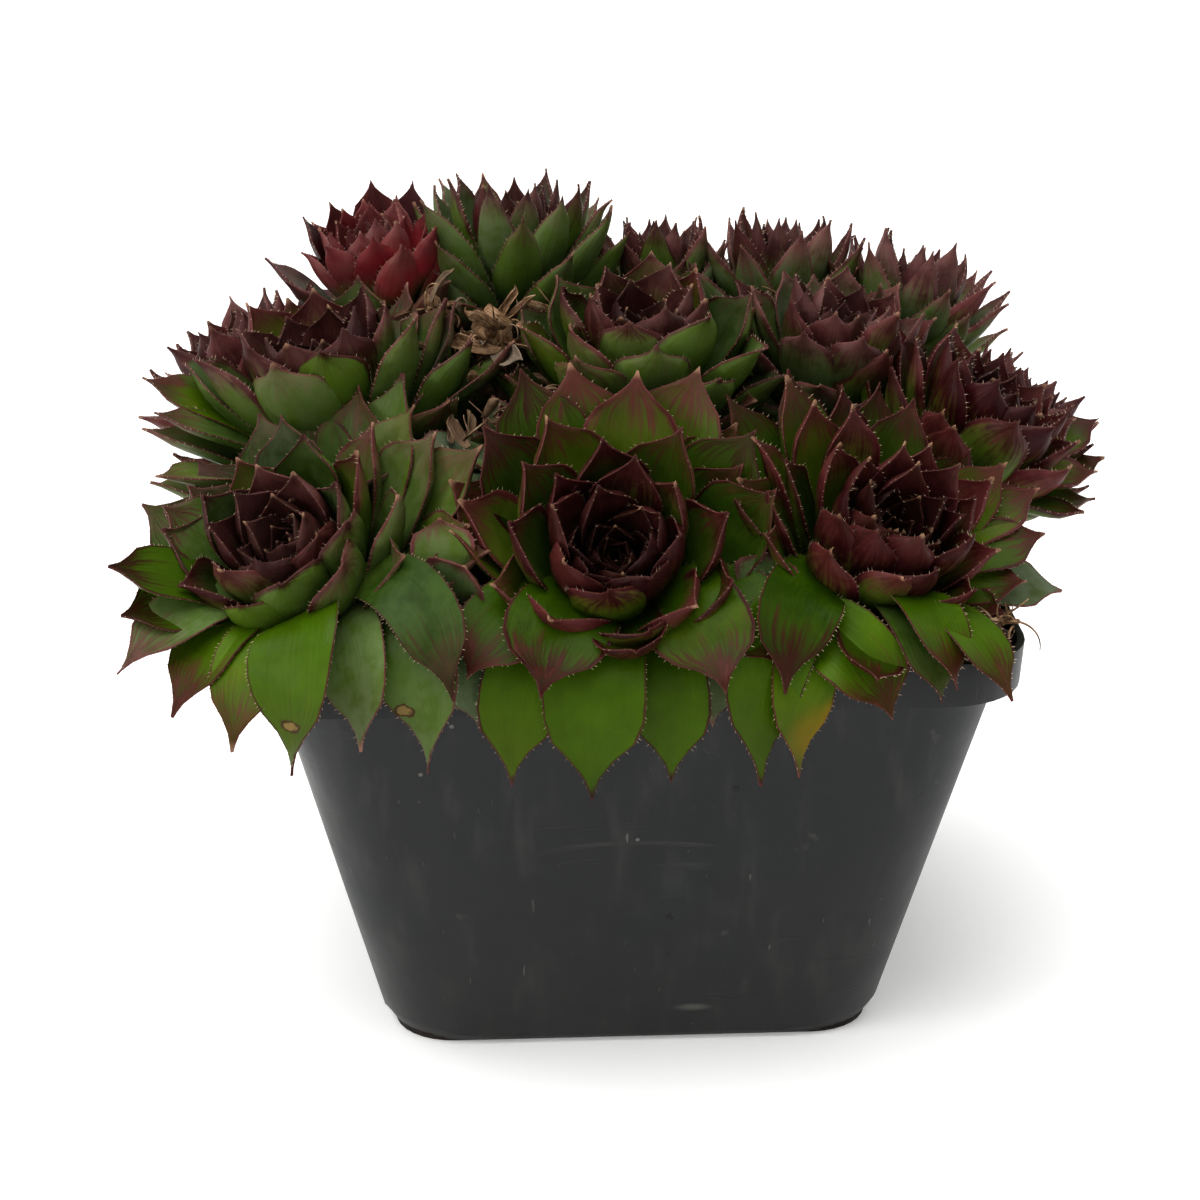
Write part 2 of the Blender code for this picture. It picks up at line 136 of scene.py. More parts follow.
@dataclass(frozen=True)
class Paint:
    """A material that is being mixed, around one Principled shader."""

    material: bpy.types.Material

    @staticmethod
    def named(name: str) -> "Paint":
        """Starts a material, named for what the real one is and how its surface was made."""
        material = bpy.data.materials.new(name)
        material.use_nodes = True
        return Paint(material)

    def add(self, kind: str, *fed: Any, give: int | slice = 0, **settings: Any) -> Any:
        """Adds a node with its settings and links.

        Args:
            kind: The node's type, without the ShaderNode before it. A choice of its own, such as a
                sum's operation, follows after a dot.
            fed: What goes into its inputs, in order: a socket, a value, a colour in hex digits, or
                None, which leaves the input as it is.
            give: The number of the output to return, or EVERY.
            settings: The node's other fields. One called stops holds a colour ramp's places and colours.

        Returns:
            The output socket, or all of them.
        """
        tree = self.material.node_tree
        kind, _, choice = kind.partition(".")
        node = tree.nodes.new("ShaderNode" + kind)
        if choice:
            setattr(node, CHOICES[kind], choice)
        stops = settings.pop("stops", ())
        for name, value in settings.items():
            setattr(node, name, value)
        if stops:
            marks = node.color_ramp.elements
            while len(marks) < len(stops):
                marks.new(0.5)
            for mark, (place, colour) in zip(marks, stops):
                mark.position = place
                mark.color = linear(colour)
        for socket, value in zip([socket for socket in node.inputs if socket.enabled], fed):
            self.feed(socket, value)
        return [socket for socket in node.outputs if socket.enabled][give]

    def feed(self, socket: bpy.types.NodeSocket, value: Any) -> None:
        """Links a socket to what feeds it, or sets its value."""
        if isinstance(value, bpy.types.NodeSocket):
            self.material.node_tree.links.new(value, socket)
        elif value is not None:
            socket.default_value = linear(value) if isinstance(value, str) else value

    def away_from(self, place: Any, middle: Triple, squash: Pair = (1.0, 1.4)) -> Any:
        """Adds how far the surface is from a mark on the front, in millimetres.

        Args:
            place: The socket with the surface's own place, in metres.
            middle: The mark's middle, in millimetres.
            squash: How much the distance counts sideways and upwards. Depth counts little.

        Returns:
            The socket with the distance.
        """
        scaled = self.add("VectorMath.MULTIPLY", place, (1 / MM,) * 3)
        gap = self.add("VectorMath.SUBTRACT", scaled, middle)
        gap = self.add("VectorMath.MULTIPLY", gap, (squash[0], DEPTH_SHARE, squash[1]))
        return self.add("VectorMath.LENGTH", gap)

    def drawn(self, *pairs: tuple[Any, float]) -> bpy.types.NodeSocket:
        """Adds a place whose x, y and z are values, each times its own factor."""
        return self.add("CombineXYZ", *(self.add("Math.MULTIPLY", *pair) for pair in pairs))

    def dress(self, **sockets: Any) -> bpy.types.Material:
        """Links or sets the shader's own sockets, given with _ for a space, and hands over the material."""
        shader = self.material.node_tree.nodes["Principled BSDF"]
        for name, value in sockets.items():
            self.feed(shader.inputs[name.replace("_", " ")], value)
        return self.material


def only(obj: bpy.types.Object) -> None:
    """Makes an object the one that is selected and active, in object mode."""
    if bpy.context.object and bpy.context.object.mode != "OBJECT":
        bpy.ops.object.mode_set(mode="OBJECT")
    bpy.ops.object.select_all(action="DESELECT")
    obj.select_set(True)
    bpy.context.view_layer.objects.active = obj


def edit_all(obj: bpy.types.Object) -> None:
    """Opens an object's mesh for editing, with all of it selected."""
    only(obj)
    bpy.ops.object.mode_set(mode="EDIT")
    bpy.ops.mesh.select_all(action="SELECT")


def placed(name: str, data: Any) -> bpy.types.Object:
    """Puts a mesh, a light or a camera into the scene, at the origin."""
    obj = bpy.data.objects.new(name, data)
    bpy.context.scene.collection.objects.link(obj)
    return obj


def select_verts(obj: bpy.types.Object, test: Callable[[Vector], bool]) -> None:
    """In edit mode, selects the corners whose places pass a test, and the faces that they close."""
    mesh = bmesh.from_edit_mesh(obj.data)
    for item in (*mesh.faces, *mesh.edges):
        item.select = False
    for vert in mesh.verts:
        vert.select = bool(test(vert.co))
    mesh.select_flush(True)
    bmesh.update_edit_mesh(obj.data)


def apply_modifiers(obj: bpy.types.Object) -> None:
    """Applies every modifier of an object, in order."""
    only(obj)
    for modifier in list(obj.modifiers):
        bpy.ops.object.modifier_apply(modifier=modifier.name)


def turn_outwards(obj: bpy.types.Object) -> None:
    """Makes the faces of every closed shell of an object point outwards."""
    edit_all(obj)
    bpy.ops.mesh.normals_make_consistent(inside=False)
    bpy.ops.object.mode_set(mode="OBJECT")


def finish_piece(
    obj: bpy.types.Object,
    name: str,
    slot: Slot,
    materials: Iterable[bpy.types.Material],
    nodes: Sequence[str] = (),
    sharp: float = 180.0,
) -> bpy.types.Object:
    """Turns a finished mesh to metres, dresses it, and puts it on the model's body.

    Args:
        obj: The piece, in millimetres.
        name: The piece's name.
        slot: The record's slot that it belongs to. It is not used.
        materials: Its materials, in the order of its faces' slots.
        nodes: The CAD nodes that it stands for.
        sharp: The angle past which an edge stays sharp.

    Returns:
        The same piece.
    """
    obj.name = obj.data.name = name
    obj.data.transform(obj.matrix_world)
    obj.matrix_world = Matrix.Identity(4)
    obj.data.transform(Matrix.Scale(MM, 4))
    obj.data.materials.clear()
    for material in materials:
        obj.data.materials.append(material)
    only(obj)
    bpy.ops.object.shade_smooth_by_angle(angle=math.radians(sharp))
    obj.select_set(False)
    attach(obj, BODY)
    if nodes:
        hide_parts(*nodes)
    LOG.info("%s: %d faces", name, len(obj.data.polygons))
    return obj


@dataclass
class Heap:
    """Copies of modelled shapes, gathered into one mesh with a colour attribute for each of its channels."""

    channels: tuple[str, ...] = ()
    points: list[Array] = field(default_factory=list)
    faces: list[Array] = field(default_factory=list)
    slots: list[Array] = field(default_factory=list)
    values: dict[str, list[Array]] = field(default_factory=dict)
    count: int = 0

    def add(self, points: Array, faces: Array, slot: int = 0, **values: Array) -> None:
        """Adds one copy.

        Args:
            points: Its places, one row each.
            faces: Its faces, all with the same number of corners, counted from its own first place.
            slot: The material slot of its faces.
            values: Four numbers for each place, under each channel's name.
        """
        self.points.append(points)
        self.faces.append(faces + self.count)
        self.slots.append(np.full(len(faces), slot))
        for name in self.channels:
            self.values.setdefault(name, []).append(np.broadcast_to(values[name], (len(points), 4)))
        self.count += len(points)

    def build(self, name: str) -> bpy.types.Object:
        """Makes the mesh and its object.

        Args:
            name: The object's name.

        Returns:
            The object, at the origin.
        """
        data = bpy.data.meshes.new(name)
        data.from_pydata(np.concatenate(self.points), [], [f for group in self.faces for f in group.tolist()])
        data.polygons.foreach_set("material_index", np.concatenate(self.slots))
        for channel in self.channels:
            layer = data.attributes.new(channel, "FLOAT_COLOR", "POINT")
            layer.data.foreach_set("color", np.concatenate(self.values[channel]).astype(np.float32).ravel())
        data.validate()
        obj = placed(name, data)
        turn_outwards(obj)
        return obj


# ---------------------------------------------------------------- the pot and its mix


@dataclass(frozen=True)
class Ring:
    """A square outline with round corners, at a height that a function of place gives."""

    half: float
    corner: float
    height: Callable[[float, float], float]


def level(height: float) -> Callable[[float, float], float]:
    """A height that is the same everywhere."""
    return lambda x, y: height


@dataclass(frozen=True)
class PotSizes:
    """The pot's driving sizes, and the shapes that follow from them."""

    rim_half: float = 65.0
    height: float = 79.0
    band: float = 7.7
    body_top_half: float = 61.3
    base_half: float = 44.3
    base_edge: float = 1.6
    wall: float = 1.3
    floor: float = 1.6
    corner: float = 14.0
    base_corner: float = 12.0
    foot_half: float = 30.0
    pad_half: float = 37.0
    pad_raise: float = 2.4
    rim_draft: float = 0.5
    drain_radius: float = 4.0
    drain_at: float = 32.0
    mix_edge: float = 77.0
    mound_rise: float = 12.0
    gap: float = 0.35
    pad_gap: float = 1.4

    @property
    def shoulder(self) -> float:
        """The height where the body meets the rim band."""
        return self.height - self.band

    def body_half(self, height: Array | float) -> Array | float:
        """Half the body's width at a height."""
        return self.base_half + (self.body_top_half - self.base_half) * height / self.shoulder

    def underside(self, lift: float = 0.0) -> Callable[[float, float], float]:
        """The underside's height, flat in the middle and raised on four corner pads, plus a lift."""

        def height(x: float, y: float) -> float:
            """The height at one place."""
            share = (min(abs(x), abs(y)) - self.foot_half) / (self.pad_half - self.foot_half)
            return lift + self.pad_raise * float(ease(share))

        return height

    def mound(self, x: Array | float, y: Array | float) -> Array | float:
        """The height of the potting mix."""
        share = (np.power(x, 4) + np.power(y, 4)) ** 0.25 / (self.rim_half - self.wall)
        return self.mix_edge + self.mound_rise * (1 - share * share)

    def outside(self, x: Array, y: Array, half: Array | float, corner: float) -> Array:
        """How far places lie outside a round-cornered square. Inside it the number is below 0."""
        right = np.abs(x) - (half - corner)
        ahead = np.abs(y) - (half - corner)
        round_part = np.hypot(np.maximum(right, 0), np.maximum(ahead, 0))
        return round_part + np.minimum(np.maximum(right, ahead), 0) - corner

    def depth(self, points: Array) -> Array:
        """How deep places lie in the pot and its mix, in millimetres. Outside them the number is below 0.

        Args:
            points: The places, one row each.

        Returns:
            One depth for each place.
        """
        x, y, z = points.T
        inside_rim = self.outside(x, y, self.rim_half - self.wall, self.corner - self.wall) < 0
        top = np.where(inside_rim, np.maximum(self.mound(x, y), 0), self.height)
        half = np.where(z > self.shoulder, self.rim_half, self.body_half(z))
        wall = np.where(z > self.height, self.rim_half, half)
        return np.minimum(top - z, -self.outside(x, y, wall, self.corner))


CORNER_STEPS = 8
SIDE_CUTS = 9
SAME_PLACE = 0.001
FLAT = 0.01


def rounded_plate(ring: Ring) -> bpy.types.Object:
    """Adds a square plate with round corners, and leaves it in edit mode, selected.

    Args:
        ring: Its outline.

    Returns:
        The plate.
    """
    bpy.ops.mesh.primitive_plane_add(size=2 * ring.half, location=(0, 0, 0))
    plate = bpy.context.object
    only(plate)
    bpy.ops.object.mode_set(mode="EDIT")
    bpy.ops.mesh.select_mode(type="VERT")
    bpy.ops.mesh.select_all(action="SELECT")
    bpy.ops.mesh.bevel(offset=ring.corner, segments=CORNER_STEPS, affect="VERTICES")
    mesh = bmesh.from_edit_mesh(plate.data)
    for item in (*mesh.faces, *mesh.verts):
        item.select = False
    for edge in mesh.edges:
        edge.select = edge.calc_length() > ring.half - ring.corner
    bmesh.update_edit_mesh(plate.data)
    bpy.ops.mesh.select_mode(type="EDGE")
    bpy.ops.mesh.subdivide(number_cuts=SIDE_CUTS)
    bpy.ops.mesh.select_mode(type="VERT")
    bpy.ops.mesh.select_all(action="SELECT")
    return plate


def draw_rings(plate: bpy.types.Object, start: Ring, rings: Sequence[Ring]) -> None:
    """Extrudes the selected face of a plate from one outline to the next.

    Args:
        plate: The object, in edit mode.
        start: The outline that the selected face has.
        rings: The outlines that follow.
    """
    old = start
    for ring in rings:
        bpy.ops.mesh.extrude_region_move(TRANSFORM_OT_translate={"value": (0, 0, 0)})
        mesh = bmesh.from_edit_mesh(plate.data)
        for vert in mesh.verts:
            if not vert.select:
                continue
            straight = old.half - old.corner
            for axis in (0, 1):
                side = max(-straight, min(straight, vert.co[axis]))
                bend = (vert.co[axis] - side) / old.corner * ring.corner
                vert.co[axis] = side / straight * (ring.half - ring.corner) + bend
            vert.co.z = ring.height(vert.co.x, vert.co.y)
        bmesh.update_edit_mesh(plate.data)
        old = ring


@dataclass(frozen=True)
class PotFinish:
    """Black polypropylene, pressed from thin recycled sheet: a dull charcoal skin with a soft, uneven
    gloss, drag marks and shallow creases from the mould, and a dusty film, scuffs and specks from the
    bench. It is painted paler towards the foot: a painted light for the light thrown up from the floor."""

    colour: str = "#0e1011"
    # This pale colour is for dust and scuffs, and for the painted light that makes the foot paler.
    dust_and_painted_bounce: str = "#85837c"
    crease_middle: Triple = (-1.2, -60.0, 42.0)
    pits: tuple[Triple, ...] = ((-42.3, -56.0, 31.0), (-21.1, -55.0, 26.2), (-10.7, -54.0, 21.8))
    rubbed: Triple = (10.2, -51.0, 7.3)

    def make(self) -> bpy.types.Material:
        """Builds the material."""
        paint = Paint.named("polypropylene_pressed_black")
        add = paint.add
        place = add("TexCoord", give=OBJECT_PLACE)

        def noise_of(stretch: Triple, scale: float, detail: float = 3.0) -> Any:
            """Noise that is drawn out along the axes with a small stretch."""
            return add("TexNoise", add("Mapping", place, None, None, stretch), scale, detail)

        # Drag marks from the mould run up the walls, about 4 mm apart.
        streaks = noise_of((1.0, 1.0, 0.05), 260.0)
        cloud = noise_of((1.0, 1.0, 1.0), 45.0, 4.0)
        # Creases run round it in short lengths, where the warm sheet was stretched.
        creases = noise_of((0.07, 0.07, 1.0), 330.0, 2.0)
        stretched = noise_of((1.0, 1.0, 1.6), 26.0, 1.0)
        crease = add("Math.MULTIPLY", add(EASED, creases, 0.60, 0.68), add(EASED, stretched, 0.58, 0.70))
        # The front is crumpled where it was gripped: arcs about 2 mm apart, round a place far below.
        x, y, z = self.crease_middle
        arc = add("Math.MULTIPLY", paint.away_from(place, (x, y, z - 75.0), (1.0, 1.0)), 0.62)
        arcs = add("TexNoise", add("CombineXYZ", arc, cloud), 1.0, 3.0)
        gripped = add(EASED, paint.away_from(place, self.crease_middle, (0.45, 1.0)), 9.0, 4.0)
        gripped = add("Math.MULTIPLY", gripped, add(EASED, creases, 0.35, 0.60))
        crease = add("Math.ADD", crease, add("Math.MULTIPLY", add(EASED, arcs, 0.54, 0.66), gripped))
        # Scratches are hair-thin, and upright.
        scratch = add(EASED, noise_of((1.0, 1.0, 0.035), 900.0, 1.0), 0.74, 0.80)
        scratch = add("Math.MULTIPLY", scratch, add(EASED, stretched, 0.40, 0.55))
        # Grit has left pits and pale specks about 0.5 mm across.
        specks, chance, _ = add("TexVoronoi.F1", place, 190.0, give=EVERY)
        chance = add("SeparateColor", chance)
        pale = add("Math.MULTIPLY", add(EASED, specks, 0.10, 0.04), add(EASED, chance, 0.88, 0.92))
        pit = add("Math.MULTIPLY", add(EASED, specks, 0.17, 0.08), add(EASED, chance, 0.10, 0.06))
        for middle in self.pits:
            ragged = add("Math.SUBTRACT", creases, 0.5)
            dent = add("Math.MULTIPLY_ADD", ragged, 2.0, paint.away_from(place, middle))
            pit = add("Math.MAXIMUM", pit, add(EASED, dent, 0.75, 0.35))
        scuff = add(EASED, noise_of((1.0, 1.0, 1.0), 160.0, 6.0), 0.62, 0.70)
        scuff = add("Math.MULTIPLY", scuff, add(EASED, cloud, 0.52, 0.62, 0.0, 0.16))
        # A dusty film lies along the drag marks. Painted light: the skin is also painted paler towards the
        # foot, for the light thrown up from the floor.
        height = add("SeparateXYZ", place, give=HEIGHT)
        film = add(EASED, streaks, 0.50, 0.85, 0.0, 0.07)
        dust_and_painted_bounce = add("Math.ADD", film, add(EASED, height, 0.060, 0.0, 0.0, 0.036))
        rubbed = add(EASED, paint.away_from(place, self.rubbed, (0.4, 1.6)), 2.2, 0.6, 0.0, 0.35)
        for mark in (
            add("Math.MULTIPLY", scratch, 0.30),
            scuff,
            add("Math.MULTIPLY", pale, 0.45),
            rubbed,
            add("Math.MULTIPLY", crease, 0.09),
        ):
            dust_and_painted_bounce = add("Math.MAXIMUM", dust_and_painted_bounce, mark)
        base = add("ValToRGB", cloud, stops=((0.30, "#0a0c0d"), (0.55, self.colour), (0.75, "#14181a")))
        # The pits are painted near-black: painted shade in their hollows.
        colour = add("Mix.RGBA", dust_and_painted_bounce, add("Mix.RGBA", pit, base, "#050505"), self.dust_and_painted_bounce)
        gloss = add("Math.MULTIPLY_ADD", dust_and_painted_bounce, 0.3, add(EASED, cloud, 0.3, 0.7, 0.40, 0.52))
        wave = noise_of((1.0, 1.0, 1.0), 70.0, 2.0)
        depth = add("Math.MULTIPLY_ADD", crease, 0.35, add("Math.MULTIPLY_ADD", pit, -1.0, scratch))
        relief = None
        for strength, distance, shape in ((0.25, 0.0012, wave), (0.2, 0.0002, streaks), (0.6, 0.0003, depth)):
            relief = add("Bump", strength, distance, None, shape, relief)
        return paint.dress(
            Base_Color=colour, Roughness=gloss, Normal=relief, IOR=1.49, Specular_IOR_Level=0.34
        )


@dataclass(frozen=True)
class NurseryPot:
    """The square pot: a tapered body, a deep rim band, raised corner pads and four drain holes."""

    sizes: PotSizes
    edge_round: float = 0.45
    edge_steps: int = 3
    edge_angle: float = 40.0
    drain_sides: int = 28
    drill_length: float = 20.0

    def rings(self) -> list[Ring]:
        """The outlines up the outside, over the rim and down the inside, from the base's edge."""
        s = self.sizes
        inside = s.corner - s.wall
        return [
            Ring(s.body_half(s.base_edge), s.base_corner, s.underside(s.base_edge)),
            Ring(s.body_half(s.shoulder), s.corner, level(s.shoulder)),
            Ring(s.rim_half - s.rim_draft, s.corner, level(s.shoulder)),
            Ring(s.rim_half, s.corner, level(s.height)),
            Ring(s.rim_half - s.wall, inside, level(s.height)),
            Ring(s.rim_half - s.wall - s.rim_draft, inside, level(s.shoulder + s.wall)),
            Ring(s.body_half(s.shoulder) - s.wall, inside, level(s.shoulder + s.wall)),
            Ring(s.body_half(s.floor) - s.wall, s.base_corner - s.wall, s.underside(s.floor)),
            Ring(s.pad_half, s.base_corner - s.wall, s.underside(s.floor)),
            Ring(s.foot_half, s.base_corner / 2, s.underside(s.floor)),
        ]

    def build(self, finish: PotFinish) -> bpy.types.Object:
        """Models the pot.

        Args:
            finish: Its plastic.

        Returns:
            The finished piece.
        """
        s = self.sizes
        start = Ring(s.base_half - s.base_edge, s.base_corner, s.underside())
        pot = rounded_plate(start)
        draw_rings(pot, start, self.rings())
        # The plate that it all began from is still flat: it becomes the underside.
        select_verts(pot, lambda co: co.z < FLAT)
        underside = [
            start,
            Ring(s.pad_half, s.base_corner, s.underside()),
            Ring(s.foot_half, s.base_corner / 2, s.underside()),
        ]
        draw_rings(pot, start, underside)
        bpy.ops.mesh.select_all(action="SELECT")
        bpy.ops.mesh.remove_doubles(threshold=SAME_PLACE)
        bpy.ops.object.mode_set(mode="OBJECT")
        turn_outwards(pot)
        rounding = pot.modifiers.new("rounded_edges", "BEVEL")
        rounding.width = self.edge_round
        rounding.segments = self.edge_steps
        rounding.limit_method = "ANGLE"
        rounding.angle_limit = math.radians(self.edge_angle)
        apply_modifiers(pot)
        self.drill(pot)
        return finish_piece(pot, "nursery_pot", Slot.POT, [finish.make()], ["pot"], sharp=38)

    def drill(self, pot: bpy.types.Object) -> None:
        """Cuts the four drain holes.

        Args:
            pot: The pot's closed shell.
        """
        s = self.sizes
        for x, y in ((1, 1), (-1, 1), (-1, -1), (1, -1)):
            bpy.ops.mesh.primitive_cylinder_add(
                vertices=self.drain_sides,
                radius=s.drain_radius,
                depth=self.drill_length,
                location=(x * s.drain_at, y * s.drain_at, 0),
            )
            drill = bpy.context.object
            cut = pot.modifiers.new("drain", "BOOLEAN")
            cut.operation = "DIFFERENCE"
            cut.solver = "EXACT"
            cut.object = drill
            apply_modifiers(pot)
            bpy.data.objects.remove(drill)


@dataclass(frozen=True)
class MixFinish:
    """Moist peat and composted bark: nearly black, with brown crumbs and a rough, lightless surface."""

    dark: str = "#17110d"
    middling: str = "#241910"
    brown: str = "#3a2a1e"

    def make(self) -> bpy.types.Material:
        """Builds the material."""
        paint = Paint.named("peat_and_bark_mix_loose")
        add = paint.add
        place = add("TexCoord", give=OBJECT_PLACE)
        crumbs = add("SeparateColor", add("TexVoronoi.F1", place, 620.0, give=CELL_COLOUR))
        mixed = add("Math.MULTIPLY", crumbs, add("TexNoise", place, 420.0, 5.0, 0.7))
        stops = ((0.10, self.dark), (0.42, self.middling), (0.62, self.brown))
        colour = add("ValToRGB", mixed, stops=stops)
        return paint.dress(Base_Color=colour, Normal=add("Bump", 0.9, 0.0012, None, mixed), Roughness=0.95)


@dataclass(frozen=True)
class PottingMix:
    """The root ball: it fills the pot a little clear of the wall, and is mounded and crumbly on top.

    Crumbs and fibres lie all over it, and a share of them is gathered at the front right corner, inside
    the x and y that corner and fibre_corner give.
    """

    sizes: PotSizes
    top_rings: int = 14
    crumbs: int = 900
    crumb_sizes: Pair = (0.7, 2.6)
    fibres: int = 70
    fibre_lengths: Pair = (4.0, 11.0)
    fibre_radii: Pair = (0.32, 0.08)
    fibre_steps: int = 6
    lumps: tuple[Pair, ...] = ((0.9, 0.22), (0.5, 0.7))
    rim_clearance: float = 0.5
    corner: tuple[Pair, Pair] = ((44, 62), (-61, -30))
    corner_share: float = 0.35
    fibre_corner: tuple[Pair, Pair] = ((40, 61), (-61, -34))
    strewn_share: float = 0.4
    seed: int = 11

    def body(self) -> bpy.types.Object:
        """Models the filled volume, with a lumpy top."""
        s = self.sizes
        under = s.underside(s.floor + s.pad_gap)
        start = Ring(s.body_half(s.floor) - s.wall - 2 * s.gap, s.base_corner - s.wall, under)
        edge = s.rim_half - s.wall - s.rim_draft - s.gap
        inside = s.corner - s.wall
        mound = lambda x, y: float(s.mound(x, y))
        rings = [
            Ring(s.body_half(s.shoulder) - s.wall - 2 * s.gap, inside, level(s.shoulder)),
            Ring(s.body_half(s.shoulder) - s.wall - s.gap, inside, level(s.shoulder + s.wall + s.gap)),
            Ring(edge, inside, level(s.shoulder + s.wall + s.gap)),
            Ring(edge, inside, mound),
        ]
        for step in range(1, self.top_rings + 1):
            share = 1 - step / (self.top_rings + 1)
            rings.append(Ring(edge * share, inside * share, mound))
        plug = rounded_plate(start)
        draw_rings(plug, start, rings)
        select_verts(plug, lambda co: co.z < s.floor + s.pad_gap + s.pad_raise + 0.1)
        floor_rings = [
            Ring(s.pad_half, s.base_corner - s.wall, under),
            Ring(s.foot_half, s.base_corner / 2, under),
        ]
        draw_rings(plug, start, floor_rings)
        bpy.ops.mesh.select_all(action="SELECT")
        bpy.ops.mesh.remove_doubles(threshold=SAME_PLACE)
        select_verts(plug, lambda co: co.z > s.mix_edge - 1.5)
        bpy.ops.mesh.subdivide(number_cuts=1)
        bpy.ops.object.mode_set(mode="OBJECT")
        clear = self.rim_clearance
        for vert in plug.data.vertices:
            if vert.co.z > s.mix_edge - clear and s.outside(*vert.co.xy, edge - clear, inside) < 0:
                vert.co.z += sum(rise * noise.noise(vert.co * pitch) for rise, pitch in self.lumps)
        turn_outwards(plug)
        return plug

    def litter(self, heap: Heap) -> None:
        """Adds loose crumbs and bark fibres on top of the mix.

        Args:
            heap: Where they go.
        """
        s = self.sizes
        rng = np.random.default_rng(self.seed)
        crumb = Blank.crumb()
        for _ in range(self.crumbs):
            x, y = rng.uniform(-s.rim_half + 4, s.rim_half - 4, 2)
            if rng.random() < self.corner_share:
                x, y = (rng.uniform(*span) for span in self.corner)
            if s.outside(np.array(x), np.array(y), s.rim_half - s.wall - 1.5, s.corner) > 0:
                continue
            size = rng.uniform(*self.crumb_sizes) * rng.uniform(0.6, 1.0)
            shape = crumb.points * (1 + rng.uniform(-0.35, 0.35, crumb.points.shape))
            turn = np.array(Matrix.Rotation(rng.uniform(0, 6.28), 3, Vector(rng.normal(size=3)).normalized()))
            spread = np.array([size, size * rng.uniform(0.6, 1.0), size * rng.uniform(0.35, 0.8)])
            middle = np.array([x, y, s.mound(x, y) + 0.25 * size])
            heap.add(shape * spread / 2 @ turn.T + middle, crumb.faces)
        for _ in range(self.fibres):
            x, y = (rng.uniform(*span) for span in self.fibre_corner)
            if rng.random() < self.strewn_share:
                x, y = rng.uniform(-58, 58, 2)
            if s.outside(np.array(x), np.array(y), s.rim_half - s.wall - 2, s.corner) > 0:
                continue
            length = rng.uniform(*self.fibre_lengths)
            heading = rng.uniform(0, 2 * math.pi)
            lift = rng.uniform(0.0, 0.9) ** 2
            step = np.array([math.cos(heading), math.sin(heading), lift]) * length / (self.fibre_steps - 1)
            path = np.array([x, y, s.mound(x, y)]) + np.arange(self.fibre_steps)[:, None] * step
            path += rng.normal(0, 0.35, path.shape)
            path[:, 2] = np.maximum(path[:, 2], s.mound(path[:, 0], path[:, 1]) + 0.1)
            inside = s.outside(path[:, 0], path[:, 1], s.rim_half - s.wall - 0.8, s.corner)
            path[:, :2] *= (1 - np.maximum(inside, 0) / 60)[:, None]
            radii = np.linspace(*self.fibre_radii, self.fibre_steps) * rng.uniform(0.7, 1.4)
            heap.add(*strand(path, radii, STRAND_SIDES))

    def build(self, finish: MixFinish) -> list[bpy.types.Object]:
        """Models the mix and its litter.

        Args:
            finish: The mix's look.

        Returns:
            The two finished pieces.
        """
        material = finish.make()
        body = finish_piece(self.body(), "peat_root_ball", Slot.MIX, [material], ["potting_mix"], sharp=50)
        heap = Heap()
        self.litter(heap)
        litter = finish_piece(heap.build("litter"), "peat_crumbs_and_fibres", Slot.MIX, [material], sharp=45)
        return [body, litter]


STRAND_SIDES = 4


def strand(path: Array, radii: Array, sides: int) -> tuple[Array, Array]:
    """A closed tube of triangles along a path, pointed at both ends.

    Args:
        path: The places that it passes.
        radii: Its radius at each place.
        sides: How many sides it has.

    Returns:
        Its places and its faces.
    """
    along = unit_rows(np.gradient(path, axis=0))
    guide = np.where(np.abs(along[:, 2:3]) < 0.9, [[0.0, 0.0, 1.0]], [[1.0, 0.0, 0.0]])
    across = unit_rows(np.cross(along, guide))
    other = np.cross(along, across)
    turn = 2 * np.pi * np.arange(sides) / sides
    rings = across[:, None] * np.cos(turn)[None, :, None] + other[:, None] * np.sin(turn)[None, :, None]
    body = (path[:, None] + rings * radii[:, None, None]).reshape(-1, 3)
    ends = np.array([path[0] - along[0] * radii[0], path[-1] + along[-1] * radii[-1]])
    faces = []
    count = len(path)
    for ring in range(count - 1):
        for side in range(sides):
            a, b = ring * sides + side, ring * sides + (side + 1) % sides
            faces += [(a, b, b + sides), (a, b + sides, a + sides)]
    first, last = count * sides, count * sides + 1
    for side in range(sides):
        faces.append((first, (side + 1) % sides, side))
        base = (count - 1) * sides
        faces.append((last, base + side, base + (side + 1) % sides))
    return np.concatenate([body, ends]), np.array(faces)


# ---------------------------------------------------------------- leaves


@dataclass(frozen=True)
class Blank:
    """A shape that is modelled once and then copied: its places and its faces."""

    points: Array
    faces: Array

    @staticmethod
    def taken(obj: bpy.types.Object) -> "Blank":
        """Reads a modelled object, whose faces all have the same number of corners, and clears it away."""
        points = np.array([vert.co[:] for vert in obj.data.vertices])
        faces = np.array([face.vertices[:] for face in obj.data.polygons])
        bpy.data.objects.remove(obj)
        return Blank(points, faces)

    @staticmethod
    def crumb() -> "Blank":
        """A lump with 20 faces, 2 across."""
        bpy.ops.mesh.primitive_ico_sphere_add(subdivisions=1, radius=1.0, location=(0, 0, 0))
        return Blank.taken(bpy.context.object)

    @staticmethod
    def leaf(columns: int, rows: int) -> "Blank":
        """A leaf before it is shaped: a closed pad with two faces.

        Args:
            columns: Faces across it.
            rows: Faces along it.

        Returns:
            The pad: x is -1 to 1 across, y 0 to 1 along, and z 1 on its upper face and -1 on its underside.
        """
        bpy.ops.mesh.primitive_grid_add(
            x_subdivisions=columns, y_subdivisions=rows, size=2.0, location=(0, 1, 0)
        )
        pad = bpy.context.object
        only(pad)
        bpy.ops.object.transform_apply(location=True)
        edit_all(pad)
        bpy.ops.transform.resize(value=(1, 0.5, 1), center_override=(0, 0, 0))
        bpy.ops.object.mode_set(mode="OBJECT")
        shell = pad.modifiers.new("two_faces", "SOLIDIFY")
        shell.thickness = 2.0
        shell.offset = 0.0
        shell.use_even_offset = False
        apply_modifiers(pad)
        return Blank.taken(pad)


